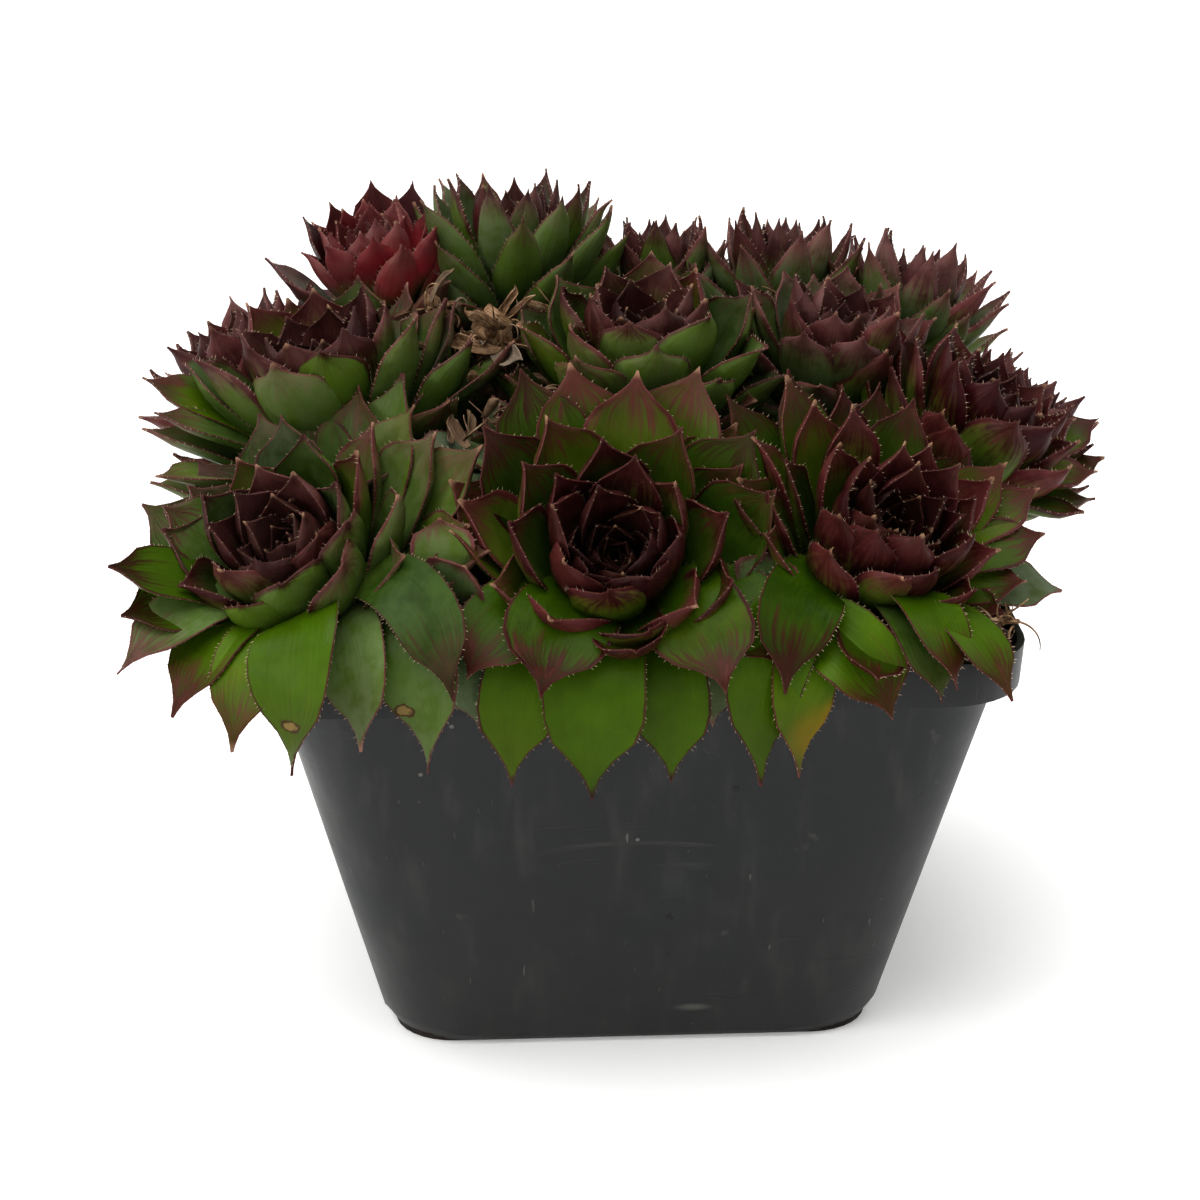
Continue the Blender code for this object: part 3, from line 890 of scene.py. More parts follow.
@dataclass(frozen=True)
class LeafOutline:
    """The outline and fullness of every houseleek leaf, as shares of its width and thickness.

    The margin is its thickness at the edge, in millimetres. upper and under are how much of the
    thickness lies above and below the blade's middle, waviness and ripple how far its edge and its blade
    wander, flattest the share of its cup that it has at the foot, and tip_tint how far its point's own
    purple reaches, as a share of its length.
    """

    along: tuple[float, ...] = (0.0, 0.15, 0.35, 0.50, 0.60, 0.68, 0.75, 0.80, 0.84, 0.88, 0.92, 0.96, 1.0)
    breadth: tuple[float, ...] = (0.50, 0.62, 0.85, 0.97, 1.0, 1.0, 0.97, 0.89, 0.75, 0.46, 0.21, 0.085, 0.01)
    girth: tuple[float, ...] = (0.85, 1.0, 1.05, 1.0, 0.95, 0.88, 0.78, 0.66, 0.54, 0.42, 0.32, 0.22, 0.12)
    tip_crowding: float = 1.5
    margin: float = 0.18
    upper: float = 0.36
    under: float = -0.64
    waviness: float = 0.035
    ripple: float = 0.02
    flattest: float = 0.45
    tip_tint: float = 0.11

    def spaced(self, along: Array) -> Array:
        """Crowds evenly spaced places towards the tip, where the outline turns fastest."""
        return 1 - (1 - along) ** self.tip_crowding

    def half_width(self, along: Array) -> Array:
        """Half the outline's width, from 0 to 1."""
        return np.interp(along, self.along, self.breadth)

    def fullness(self, along: Array) -> Array:
        """The thickness in the middle, from 0 to about 1."""
        return np.interp(along, self.along, self.girth)


OUTLINE = LeafOutline()
MIDRIB_STEPS = 49
NOT_FLAT = 1e-4
CURL_OF_WHOLE_LENGTH = 400


@dataclass
class Leaf:
    """One leaf of a rosette, in the rosette's own frame.

    azimuth counts round the axis from the side that leans lowest. opening is the blade's angle from the
    axis at its middle, incurve how far it bends back to the axis from base to tip, curl how far its point
    turns up, rise how far the light draws it up, as a share of its length, and taper how much narrower
    than most its upper half is, as a share of its width. A leaf with a path follows a curve instead, from
    its foot over a knee to its point.
    """

    azimuth: float
    age: float
    length: float
    width: float
    opening: float
    incurve: float = 10.0
    curl: float = 12.0
    cup: float = 26.0
    roll: float = 0.0
    foot_radius: float = 3.0
    foot_height: float = 0.0
    thickness: float = 0.15
    seed: float = 0.5
    flush: float = 0.3
    red: float = 0.0
    dry: float = 0.0
    bloom: float = 0.0
    hairs: bool = True
    rise: float = 0.0
    taper: float = 0.0
    path: tuple[Array, Array, Array] | None = None

    def half_width(self, along: Array) -> Array:
        """Half the leaf's width at shares of its length, in millimetres."""
        narrowed = 1 - self.taper * ease((along - 0.38) / 0.50)
        return OUTLINE.half_width(along) * self.width / 2 * narrowed

    def lean(self, along: Array) -> Array:
        """The blade's angle from the axis, in radians, at shares of its length."""
        bent = self.opening + self.incurve * (0.5 - along)
        return np.radians(bent - self.curl * ease((along - 0.82) / 0.18))

    def inset(self, across: Array, along: Array) -> Array:
        """How far places on the blade lie in from its margin and its point, in centimetres."""
        side = (1 - np.abs(across)) * self.half_width(along)
        return np.minimum(side, (1 - along) * self.length * OUTLINE.tip_tint) / 10


@dataclass(frozen=True)
class Line:
    """A leaf's midrib: places, and the directions along it, across it and out of its upper face."""

    places: Array
    along: Array
    across: Array
    out: Array


@dataclass
class Frame:
    """A rosette's own directions: its middle, its axis, the side that leans lowest, and the third one."""

    middle: Array
    axis: Array
    down: Array
    side: Array

    @staticmethod
    def leaning(middle: Sequence[float], lean: float, heading: float) -> "Frame":
        """A frame that leans.

        Args:
            middle: Where the rosette's leaves meet.
            lean: The axis's angle from upright.
            heading: The direction that it leans in, counted from +x.

        Returns:
            The frame.
        """
        lean, heading = math.radians(lean), math.radians(heading)
        outward = np.array([math.cos(heading), math.sin(heading), 0.0])
        axis = outward * math.sin(lean) + np.array([0.0, 0.0, math.cos(lean)])
        down = outward - axis * outward.dot(axis)
        down /= np.linalg.norm(down)
        return Frame(np.array(middle, float), axis, down, np.cross(axis, down))

    def up_axis(self, height: float) -> Array:
        """The place on the axis at a height above the middle."""
        return self.middle + self.axis * height

    def curve(self, leaf: Leaf, along: Array) -> Line:
        """The midrib of a leaf that has a path, at shares of its length."""
        foot, knee, tip = leaf.path
        share = along[:, None]
        places = foot * (1 - share) ** 2 + knee * 2 * share * (1 - share) + tip * share**2
        heading = unit_rows((knee - foot) * (1 - share) + (tip - knee) * share)
        out = unit_rows(self.axis - heading * (heading @ self.axis)[:, None])
        lift = leaf.length * leaf.curl / CURL_OF_WHOLE_LENGTH * ease((along - 0.80) / 0.20)
        places = places + out * lift[:, None]
        return Line(places, heading, np.cross(heading, out), out)

    def line(self, leaf: Leaf, along: Array) -> Line:
        """A leaf's midrib at shares of its length."""
        if leaf.path is not None:
            return self.curve(leaf, along)
        steps = np.linspace(0, 1, MIDRIB_STEPS)
        lean = leaf.lean(steps)
        turn = math.radians(leaf.azimuth)
        outward = self.down * math.cos(turn) + self.side * math.sin(turn)
        sideways = self.down * math.sin(turn) - self.side * math.cos(turn)
        gain = (np.sin(lean)[:, None] * outward + np.cos(lean)[:, None] * self.axis) * leaf.length
        walked = np.cumsum((gain[1:] + gain[:-1]) / 2 * steps[1], axis=0)
        places = self.middle + leaf.foot_radius * outward + leaf.foot_height * self.axis
        places = places + np.concatenate([np.zeros((1, 3)), walked])
        places[:, 2] += leaf.rise * leaf.length * steps**2.2
        heading = unit_rows(np.gradient(places, steps, axis=0))
        out = unit_rows(np.cross(sideways, heading))
        low = MIDRIB_STEPS // 6
        if out[low] @ (np.sin(lean[low]) * self.axis - np.cos(lean[low]) * outward) < 0:
            out = -out
        across = np.cross(heading, out)
        at = lambda rows: np.stack([np.interp(along, steps, column) for column in rows.T], axis=1)
        return Line(at(places), at(heading), at(across), at(out))

    def shaped(self, leaf: Leaf, across: Array, along: Array, side: Array) -> Array:
        """Bends a leaf blank's places into the leaf.

        Args:
            leaf: The leaf.
            across: Places across it, from -1 to 1.
            along: Places along it, from 0 to 1.
            side: 1 on the upper face, -1 on the underside.

        Returns:
            The places in space.
        """
        line = self.line(leaf, along)
        wave = 1 + OUTLINE.waviness * np.sin(11 * along + 37 * leaf.seed + 2 * across)
        half = leaf.half_width(along) * wave
        bent = OUTLINE.flattest + (1 - OUTLINE.flattest) * ease(along / 0.6)
        arc = np.radians(leaf.cup) * bent + NOT_FLAT
        turn = arc * across
        x = half * np.sin(turn) / arc
        out = half * (1 - np.cos(turn)) / arc
        lens = np.clip(1 - np.abs(across) ** 2.4, 0, 1) ** 0.7
        thick = leaf.width * leaf.thickness * OUTLINE.fullness(along) * lens + OUTLINE.margin
        rise = thick * np.where(side > 0, OUTLINE.upper, OUTLINE.under)
        x = x - np.sin(turn) * rise
        out = out + np.cos(turn) * rise
        out = out + OUTLINE.ripple * leaf.width * np.sin(7 * along + 29 * leaf.seed) * across
        roll = np.radians(leaf.roll) * (0.4 + along)
        x, out = x * np.cos(roll) - out * np.sin(roll), x * np.sin(roll) + out * np.cos(roll)
        return line.places + line.across * x[:, None] + line.out * out[:, None]


@dataclass(frozen=True)
class Hairs:
    """The stiff hairs along a leaf's margins, which show as fine pale teeth.

    They run from the share first of its length to the share last. forward is how much they slant to the
    leaf's point, and sunk how far their feet are in it. They have their full length from full_from on.
    """

    spacing: float = 0.95
    length: float = 0.62
    radius: float = 0.105
    first: float = 0.22
    last: float = 0.965
    forward: float = 0.55
    sunk: float = 0.12
    full_from: float = 22.0

    def add(self, heap: Heap, frame: Frame, leaf: Leaf, rng: np.random.Generator) -> None:
        """Adds one leaf's hairs, each a pointed prism with four faces.

        Args:
            heap: Where they go.
            frame: The rosette's frame.
            leaf: The leaf.
            rng: The source of their small differences.
        """
        count = int(leaf.length * (self.last - self.first) / self.spacing)
        if count < 3:
            return
        along = np.tile(np.linspace(self.first, self.last, count), 2)
        along = along + rng.uniform(-0.3, 0.3, along.shape) / count
        side = np.repeat([-1.0, 1.0], count)
        line = frame.line(leaf, along)
        root = frame.shaped(leaf, side * 0.99, along, -np.ones_like(along))
        inner = frame.shaped(leaf, side * 0.80, along, -np.ones_like(along))
        outward = unit_rows(root - inner)
        point = unit_rows(outward + line.along * self.forward + rng.normal(0, 0.12, outward.shape))
        length = self.length * rng.uniform(0.55, 1.15, count * 2)
        length = length * (0.6 + 0.4 * min(1.0, leaf.length / self.full_from))
        middle = root + line.out * OUTLINE.margin / 2 - outward * self.sunk
        corners = []
        for turn in (0, 120, 240):
            spread = line.along * math.cos(math.radians(turn)) + line.out * math.sin(math.radians(turn))
            corners.append(middle + spread * self.radius)
        corners.append(middle + point * (length + self.sunk)[:, None])
        points = np.stack(corners, axis=1).reshape(-1, 3)
        faces = np.array([(0, 1, 3), (1, 2, 3), (2, 0, 3), (2, 1, 0)])
        faces = (faces[None] + 4 * np.arange(2 * count)[:, None, None]).reshape(-1, 3)
        across, along = (np.repeat(values, 4) for values in ((side + 1) / 2, along))
        add_skin(heap, points, faces, leaf, across, along, inset=0.0, hair=1.0)


CHANNELS = ("blade", "nature", "state")


def add_skin(
    heap: Heap,
    points: Array,
    faces: Array,
    leaf: Leaf,
    across: Array | float = 0.5,
    along: Array | float = 0.2,
    inset: Array | float = 0.3,
    underside: Array | float = 0.0,
    hair: float = 0.0,
) -> None:
    """Adds a shape with the three channels that its skin reads.

    Args:
        heap: Where it goes.
        points: Its places.
        faces: Its faces.
        leaf: The leaf whose age, tone and state it has.
        across: How far each place is across the leaf, from 0 to 1.
        along: How far it is from foot to point, from 0 to 1.
        inset: How far it lies in from the margin, in centimetres.
        underside: 1 on the underside and 0 elsewhere.
        hair: 1 on a hair and 0 elsewhere.
    """
    every = np.ones(len(points))
    blade, nature, state = (
        np.stack([value * every for value in values], axis=1)
        for values in (
            (across, along, inset, hair),
            (leaf.age, leaf.seed, leaf.flush, underside),
            (leaf.red, leaf.dry, leaf.bloom, 1.0),
        )
    )
    heap.add(points, faces, blade=blade, nature=nature, state=state)


@dataclass(frozen=True)
class LeafPress:
    """Turns leaves into meshes, with a fine blank for the large ones and a plain one for the small."""

    fine: Blank
    plain: Blank
    hairs: Hairs = Hairs()
    fine_from: float = 15.0

    @staticmethod
    def make() -> "LeafPress":
        """Models both blanks."""
        return LeafPress(Blank.leaf(6, 13), Blank.leaf(4, 9))

    def add(self, heap: Heap, frame: Frame, leaf: Leaf, rng: np.random.Generator) -> None:
        """Adds a leaf with its hairs.

        Args:
            heap: Where it goes.
            frame: The rosette's frame.
            leaf: The leaf.
            rng: The source of its small differences.
        """
        blank = self.fine if leaf.length > self.fine_from else self.plain
        across, along, side = blank.points.T
        along = OUTLINE.spaced(along)
        points = frame.shaped(leaf, across, along, side)
        inset = leaf.inset(across, along)
        add_skin(heap, points, blank.faces, leaf, (across + 1) / 2, along, inset, underside=(1 - side) / 2)
        if leaf.hairs:
            self.hairs.add(heap, frame, leaf, rng)


@dataclass(frozen=True)
class LeafFinish:
    """Living houseleek skin: smooth, waxy and fleshy, green where it is shaded and young, and purple
    where sun has reached it, with a pale bloom on the underside and a pale line along the margin."""

    greens: tuple[str, ...] = ("#1c3000", "#365000", "#586f04")
    base_green: str = "#5a6a06"
    old_green: str = "#587409"
    bronze: str = "#33200f"
    # Painted shade for the feet of the leaves, deep between the others.
    deep: str = "#101503"
    under_green: str = "#4d660e"
    wax: str = "#6f7766"
    pink_wax: str = "#85605c"
    purples: tuple[str, ...] = ("#170304", "#380c12", "#75303a")
    # The heart's colour is its own deep maroon, darkened further with painted shade.
    heart: str = "#0e0203"
    reds: tuple[str, ...] = ("#5e0c18", "#c02840")
    margin: str = "#69443c"
    bristle: str = "#c8b79d"
    point: str = "#a58468"
    dry: tuple[str, ...] = ("#2b2019", "#695441", "#95816a")
    scar: tuple[str, ...] = ("#35240f", "#6b5a33")
    yellow: str = "#7c5f12"
    scars: tuple[tuple[Triple, float], ...] = (((-57.6, -72.5, 73.2), 1.5), ((-39.3, -72.0, 74.8), 1.4))
    yellowed: Triple = (31.0, -71.0, 69.0)

    def make(self) -> bpy.types.Material:
        """Builds the material."""
        paint = Paint.named("houseleek_skin_grown")
        add = paint.add
        place = add("TexCoord", give=OBJECT_PLACE)
        channels = [add("Attribute", attribute_name=name) for name in CHANNELS]
        channels = [add("SeparateColor", channel, give=EVERY) for channel in channels]
        (across, along, inset), (age, seed, flush), (red, dry, bloom) = channels
        cilium, under = (add("Attribute", attribute_name=name, give=ALPHA) for name in CHANNELS[:2])

        # Veins run along the blade: about 25 across a leaf 15 mm wide, and long.
        veins = add("TexNoise", paint.drawn((across, 22.0), (along, 2.6), (seed, 61.0)), 1.0, 2.0)
        mottle = add("TexNoise", place, 300.0, 3.0, 0.6)
        broad = add("TexNoise", place, 70.0, 1.0)
        ragged_mottle = add("Math.SUBTRACT", mottle, 0.5)

        # Green: a tone for each leaf, lighter near the base, and dull with bloom on the underside.
        tone = add("Math.MULTIPLY", add("Math.ADD", broad, mottle), 0.33)
        tone = add("Math.MULTIPLY_ADD", seed, 0.45, tone)
        green = add("ValToRGB", tone, stops=tuple(zip((0.25, 0.55, 0.85), self.greens)))
        green = add("Mix.RGBA", add(EASED, along, 0.42, 0.05, 0.0, 0.7), green, self.base_green)
        green = add("Mix.RGBA", add(EASED, age, 0.86, 0.97, 0.0, 0.24), green, self.old_green)
        green = add("Mix.RGBA", add("Math.MULTIPLY", under, 0.75), green, self.under_green)

        # Purple creeps in from the margins and the point, right across young and sunlit leaves. The width
        # of its band is in millimetres.
        inset = add("Math.MULTIPLY", inset, 10.0)
        sunned = add("Math.MULTIPLY_ADD", flush, 1.3, add("Math.MULTIPLY_ADD", age, -0.9, 0.30))
        sunned = add("Math.MAXIMUM", sunned, 0.0)
        sunned = add("Math.ADD", sunned, add(EASED, age, 0.45, 0.22, 0.0, 0.5))
        band = add("Math.MULTIPLY_ADD", add("Math.MULTIPLY", sunned, sunned), 5.5, 0.14)
        band = add("Math.MULTIPLY_ADD", add("Math.MULTIPLY", under, sunned), 0.6, band)
        ragged = add("Math.MULTIPLY_ADD", add("Math.SUBTRACT", veins, 0.5), 1.8, ragged_mottle)
        place_in = add("Math.MULTIPLY_ADD", add("Math.MULTIPLY", ragged, band), 0.9, inset)
        narrow, wide = (add("Math.MULTIPLY", band, share) for share in (0.25, 1.5))
        purpled = add(EASED, place_in, narrow, wide, 1.0, 0.0)
        from_point = add("Math.MULTIPLY_ADD", ragged, 0.28, along)
        for share, reach in (
            (sunned, add(EASED, along, 0.35, 0.9, 0.1, 0.7)),
            (add(EASED, from_point, 0.70, 0.92), add(EASED, flush, 0.04, 0.36, 0.0, 0.9)),
        ):
            purpled = add("Math.MAXIMUM", purpled, add("Math.MULTIPLY", share, reach))
        foot = add("Math.MULTIPLY", add(EASED, along, 0.62, 0.30), add(EASED, age, 0.10, 0.38, 0.0, 0.92))
        purpled = add("Math.MULTIPLY", purpled, add("Math.SUBTRACT", 1.0, foot))
        shade = add("Math.MULTIPLY", add("Math.ADD", mottle, veins), 0.36)
        shade = add("Math.MULTIPLY_ADD", seed, 0.30, shade)
        purple = add("ValToRGB", shade, stops=tuple(zip((0.20, 0.48, 0.80), self.purples)))
        flare = add("Math.MULTIPLY", add(EASED, broad, 0.35, 0.65), add(EASED, along, 0.9, 0.5))
        purple = add("Mix.RGBA", red, purple, add("Mix.RGBA", flare, *self.reds))
        # Young leaves near the heart turn near-black: their own deep maroon, darkened further as painted
        # shade for the hollow of the heart.
        purple = add("Mix.RGBA", add(EASED, age, 0.50, 0.12, 0.0, 0.94), purple, self.heart)

        bronze = add("Math.MULTIPLY", add(EASED, along, 0.52, 0.95), add(EASED, seed, 0.1, 0.9, 0.08, 0.5))
        margin = add(EASED, age, 0.2, 0.6, 0.25, 1.0)
        margin = add("Math.MULTIPLY", add(EASED, inset, 0.08, 0.01, 0.0, 0.34), margin)
        waxy = add("Math.MULTIPLY", bloom, add("Math.MULTIPLY_ADD", purpled, -0.25, 1.0))
        streaked = add("Math.MULTIPLY_ADD", veins, 0.7, add("Math.MULTIPLY", mottle, 0.3))
        skin = green
        for share, over in (
            (purpled, purple),
            # Green turns a bronze brown towards the point, more on some leaves than on others.
            (add("Math.MULTIPLY", bronze, add(EASED, red, 0.0, 1.0, 1.0, 0.3)), self.bronze),
            # Painted shade: the skin darkens towards each leaf's foot, deep between the leaves.
            (add(EASED, along, 0.38, 0.05, 0.0, 0.75), self.deep),
            # The margin is a thin line, and the hairs on it are paler.
            (margin, self.margin),
            (add("Math.MULTIPLY", cilium, 0.78), self.bristle),
            # The point is dry and pale on most leaves.
            (add("Math.MULTIPLY", add(EASED, along, 0.955, 0.995), add(EASED, seed, 0.45, 0.75, 0.0, 0.6)),
             self.point),
            (add("Math.MULTIPLY", waxy, add(EASED, mottle, 0.3, 0.6, 0.3, 0.75)),
             add("Mix.RGBA", purpled, self.wax, self.pink_wax)),
            (dry, add("ValToRGB", streaked, stops=tuple(zip((0.3, 0.5, 0.72), self.dry)))),
            # One hanging leaf yellows along its edge.
            (add("Math.MULTIPLY", add(EASED, paint.away_from(place, self.yellowed), 10.0, 5.0),
                 add(EASED, inset, 2.2, 0.2, 0.0, 0.55)), self.yellow),
        ):
            skin = add("Mix.RGBA", share, skin, over)
        # Two carry corky scars, with a dark rim.
        for middle, radius in self.scars:
            away = add("Math.MULTIPLY_ADD", ragged_mottle, 3.0, paint.away_from(place, middle))
            for colour, outer, inner in zip(self.scar, (1.25, 0.95), (1.0, 0.7)):
                skin = add("Mix.RGBA", add(EASED, away, radius * outer, radius * inner), skin, colour)
        gloss = add("Math.MULTIPLY_ADD", mottle, 0.16, add("Math.MULTIPLY_ADD", dry, 0.4, 0.32))
        fine = add("Bump", 0.22, 0.00012, None, add("TexNoise", place, 1500.0, 2.0))
        return paint.dress(
            Base_Color=skin, Roughness=gloss, Normal=add("Bump", 0.30, 0.0004, None, veins, fine),
            IOR=1.40, Specular_IOR_Level=0.16,
        )


# ---------------------------------------------------------------- rosettes


@dataclass(frozen=True)
class Guide:
    """One large leaf that is led to a place of its own.

    tip is where its point ends, tier how far below the rosette's middle it starts, as a share of the
    rosette's reach, arch how far its middle rises, as a share of its length, and layer how far above
    the rim it lies where it hangs over it, in millimetres, so that each leaf lies on the one below.
    """

    tip: Triple
    width: float = 14.0
    flush: float = 0.15
    tier: float = 0.3
    arch: float = 0.06
    curl: float = 8.0
    cup: float = 30.0
    age: float = 0.97
    bloom: float = 0.0
    layer: float = 1.0


@dataclass(frozen=True)
class Withering:
    """The ranges that a withered leaf is drawn from. Its length and width are shares of a scale."""

    azimuth: Pair
    length: Pair
    width: Pair
    opening: Pair
    incurve: Pair
    curl: Pair
    cup: Pair
    roll: Pair
    thickness: float

    def leaf(self, scale: float, rng: np.random.Generator, azimuth: float = 0.0, **foot: float) -> Leaf:
        """Draws one leaf.

        Args:
            scale: What its length and width are shares of, in millimetres.
            rng: The source of its small differences.
            azimuth: Where it grows, before the draw turns it.
            foot: Its foot's radius and height.

        Returns:
            The leaf.
        """
        draw = lambda name: rng.uniform(*getattr(self, name))
        return Leaf(
            azimuth=azimuth + draw("azimuth"),
            age=1.0,
            length=scale * draw("length"),
            width=scale * draw("width"),
            **{name: draw(name) for name in ("opening", "incurve", "curl", "cup", "roll")},
            thickness=self.thickness,
            seed=rng.uniform(0, 1),
            dry=1.0,
            hairs=False,
            **foot,
        )


SHRIVELLED = Withering(
    (0, 360), (0.7, 1.25), (0.30, 0.48), (35, 95), (-60, 70), (-90, 90), (60, 130), (-60, 60), thickness=0.04
)
HANGING = Withering(
    (-20, 20), (0.5, 0.7), (0.2, 0.3), (80, 96), (-30, 20), (-60, 60), (40, 80), (-40, 40), thickness=0.05
)
STRAW = Leaf(azimuth=0, age=1.0, length=1, width=1, opening=0, dry=1.0)


@dataclass(frozen=True)
class Tuft:
    """A heap of dead leaves and curly threads that has dried between the rosettes.

    It lies from start to end, and its leaves and threads have the lengths given, in millimetres.
    """

    start: Triple
    end: Triple
    leaves: int = 8
    threads: int = 10
    leaf_length: float = 9.0
    thread_length: float = 9.0
    spread: float = 1.6
    thread_steps: int = 13
    thread_bend: float = 34.0
    thread_radii: Pair = (0.30, 0.10)

    def add(self, heap: Heap, press: LeafPress, rng: np.random.Generator) -> None:
        """Adds the tuft.

        Args:
            heap: Where it goes.
            press: What makes its leaves.
            rng: The source of its small differences.
        """
        start, end = np.array(self.start), np.array(self.end)
        for number in range(self.leaves):
            middle = start + (end - start) * (number + 0.5) / self.leaves + rng.normal(0, self.spread, 3)
            leaf = SHRIVELLED.leaf(self.leaf_length, rng, foot_radius=0.0)
            press.add(heap, Frame.leaning(middle, 0.0, 0.0), leaf, rng)
        for number in range(self.threads):
            middle = start + (end - start) * rng.uniform(0, 1) + rng.normal(0, self.spread, 3)
            self.thread(heap, middle, rng)

    def thread(self, heap: Heap, start: Array, rng: np.random.Generator) -> None:
        """Adds one curly thread.

        Args:
            heap: Where it goes.
            start: Where it starts.
            rng: The source of its curl.
        """
        heading = rng.normal(0, 1, 3)
        heading[2] = abs(heading[2]) * 0.8
        heading /= np.linalg.norm(heading)
        pivot = np.cross(heading, rng.normal(0, 1, 3))
        bend = math.radians(rng.uniform(-self.thread_bend, self.thread_bend))
        turn = Matrix.Rotation(bend, 3, Vector(pivot / np.linalg.norm(pivot)))
        step = self.thread_length * rng.uniform(0.5, 1.2) / self.thread_steps
        path = [start]
        for _ in range(self.thread_steps):
            heading = np.array(turn) @ heading
            path.append(path[-1] + heading * step)
        radii = np.linspace(*self.thread_radii, len(path)) * rng.uniform(0.6, 1.2)
        points, faces = strand(np.array(path), radii, STRAND_SIDES)
        looks = replace(STRAW, seed=rng.uniform(0, 1))
        add_skin(heap, points, faces, looks, along=np.arange(len(points)) / len(points))


@dataclass(frozen=True)
class Rosette:
    """One rosette of the clump.

    reach is its radius, closed how far it is shut, from 0 to 1, flush how far the purple spreads, and
    skirt how far its lowest leaves hang over the rim.
    """

    node: str
    middle: Triple
    lean: float
    heading: float
    reach: float
    leaves: int
    closed: float = 0.4
    flush: float = 0.4
    phase: float = 0.0
    skirt: float = 0.0
    red: float = 0.0
    dry_leaves: int = 5
    offset: bool = False
    breadth: float = 1.0
    taper: float = 0.0
    bloom: float = 0.15
    led: tuple[Guide, ...] = ()
    tufts: tuple[Tuft, ...] = ()


STEM_RADII = (0.16, 0.19, 0.16, 0.19, 0.17, 0.13, 0.05)
STEM_SIDES = 9
SEAT_SHARE = 0.80
SPINE_STEPS = 8
TIP_ALLOWANCE = 4.5


@dataclass
class Cell:
    """The room that a rosette has between its neighbours."""

    plan: Rosette
    frame: Frame
    seat: Array
    planes: list[tuple[Array, float]] = field(default_factory=list)

    @staticmethod
    def of(plan: Rosette, sizes: PotSizes) -> "Cell":
        """The cell of a rosette, before it is parted from its neighbours."""
        x, y = plan.middle[0] * SEAT_SHARE, plan.middle[1] * SEAT_SHARE
        frame = Frame.leaning(plan.middle, plan.lean, plan.heading)
        return Cell(plan, frame, np.array([x, y, float(sizes.mound(x, y))]))

    def spine(self) -> Array:
        """Places from the rosette's seat in the mix to its middle."""
        return self.seat + np.linspace(0, 1, SPINE_STEPS + 1)[:, None] * (self.frame.middle - self.seat)

    def part_from(self, other: "Cell") -> None:
        """Adds the plane between this cell and another, where their spines come nearest."""
        own, far = self.spine(), other.spine()
        gaps = far[None] - own[:, None]
        lengths = np.linalg.norm(gaps, axis=2)
        near = np.unravel_index(np.argmin(lengths), lengths.shape)
        gap, length = gaps[near], lengths[near]
        normal = gap / length
        share = self.plan.reach / (self.plan.reach + other.plan.reach)
        self.planes.append((normal, float(own[near[0]] @ normal + length * share)))

    def beyond(self, points: Array) -> float:
        """How far the furthest of some places lies outside the cell."""
        return max((float((points @ normal).max() - limit) for normal, limit in self.planes), default=-99.0)


@dataclass(frozen=True)
class Habit:
    """How a rosette's leaves change from its heart, at 0, to its outermost leaf, at 1.

    Openings, incurves and cups are angles. Lengths, foot heights and foot radii are shares of the
    rosette's reach, and breadths are shares of the leaf's own length. Leaves differ from this: their
    points curl by an angle from curls, and turn, nod, bend and roll are how far their azimuth, opening,
    incurve and roll go either way.
    """

    ages: tuple[float, ...] = (0.0, 0.12, 0.25, 0.40, 0.55, 0.70, 0.85, 1.0)
    openings: tuple[float, ...] = (2.0, 8.0, 17.0, 28.0, 44.0, 58.0, 70.0, 76.0)
    incurves: tuple[float, ...] = (30.0, 46.0, 54.0, 52.0, 42.0, 28.0, 14.0, 2.0)
    cups: tuple[float, ...] = (75.0, 70.0, 62.0, 55.0, 49.0, 44.0, 38.0, 32.0)
    lengths: tuple[float, ...] = (0.20, 0.34, 0.54, 0.70, 0.80, 0.88, 0.93, 0.96)
    breadths: tuple[float, ...] = (0.66, 0.66, 0.65, 0.63, 0.60, 0.57, 0.54, 0.50)
    foot_heights: tuple[float, ...] = (-0.08, -0.10, -0.12, -0.18, -0.28, -0.44, -0.66, -0.92)
    foot_radii: tuple[float, ...] = (0.02, 0.04, 0.07, 0.10, 0.13, 0.16, 0.18, 0.20)
    shut_rise: float = 0.30
    shut_opening: float = 0.32
    shut_growth: float = 0.30
    light_rise: float = 0.24
    curls: Pair = (-42.0, 14.0)
    turn: float = 7.0
    nod: float = 5.0
    bend: float = 4.0
    roll: float = 13.0

    def at(self, age: float, values: tuple[float, ...]) -> float:
        """One of the habit's values at an age."""
        return float(np.interp(age, self.ages, values))

    def leaf(self, plan: Rosette, number: int, rng: np.random.Generator) -> Leaf:
        """The leaf with that number, counted from the heart.

        Args:
            plan: The rosette.
            number: The leaf's number.
            rng: The source of its small differences.

        Returns:
            The leaf, as it would grow with no neighbours.
        """
        age = (number + 0.3) / (plan.leaves - 0.7)
        length = plan.reach * self.at(age, self.lengths) * rng.uniform(0.93, 1.07)
        length *= 1 + self.shut_growth * plan.closed * (1 - age)
        about = lambda most: rng.uniform(-most, most)
        return Leaf(
            azimuth=plan.phase + number * GOLDEN_ANGLE + about(self.turn),
            age=age,
            length=length,
            width=length * self.at(age, self.breadths) * plan.breadth * rng.uniform(0.94, 1.06),
            opening=self.at(age, self.openings) * (1 - self.shut_opening * plan.closed) + about(self.nod),
            incurve=self.at(age, self.incurves) + about(self.bend),
            curl=rng.uniform(*self.curls),
            cup=self.at(age, self.cups),
            roll=about(self.roll),
            foot_radius=plan.reach * self.at(age, self.foot_radii),
            foot_height=plan.reach * (self.at(age, self.foot_heights) + self.shut_rise * plan.closed),
            rise=self.light_rise * math.sin(math.radians(plan.lean)) * age,
            taper=plan.taper,
            seed=rng.uniform(0, 1),
            flush=float(np.clip(plan.flush + about(0.12), 0, 1)),
            red=plan.red,
            bloom=plan.bloom * rng.uniform(0.3, 1.5),
            dry=plan.red * 0.75 * float(ease((age - 0.62) / 0.2)),
            hairs=age > 0.12,
        )


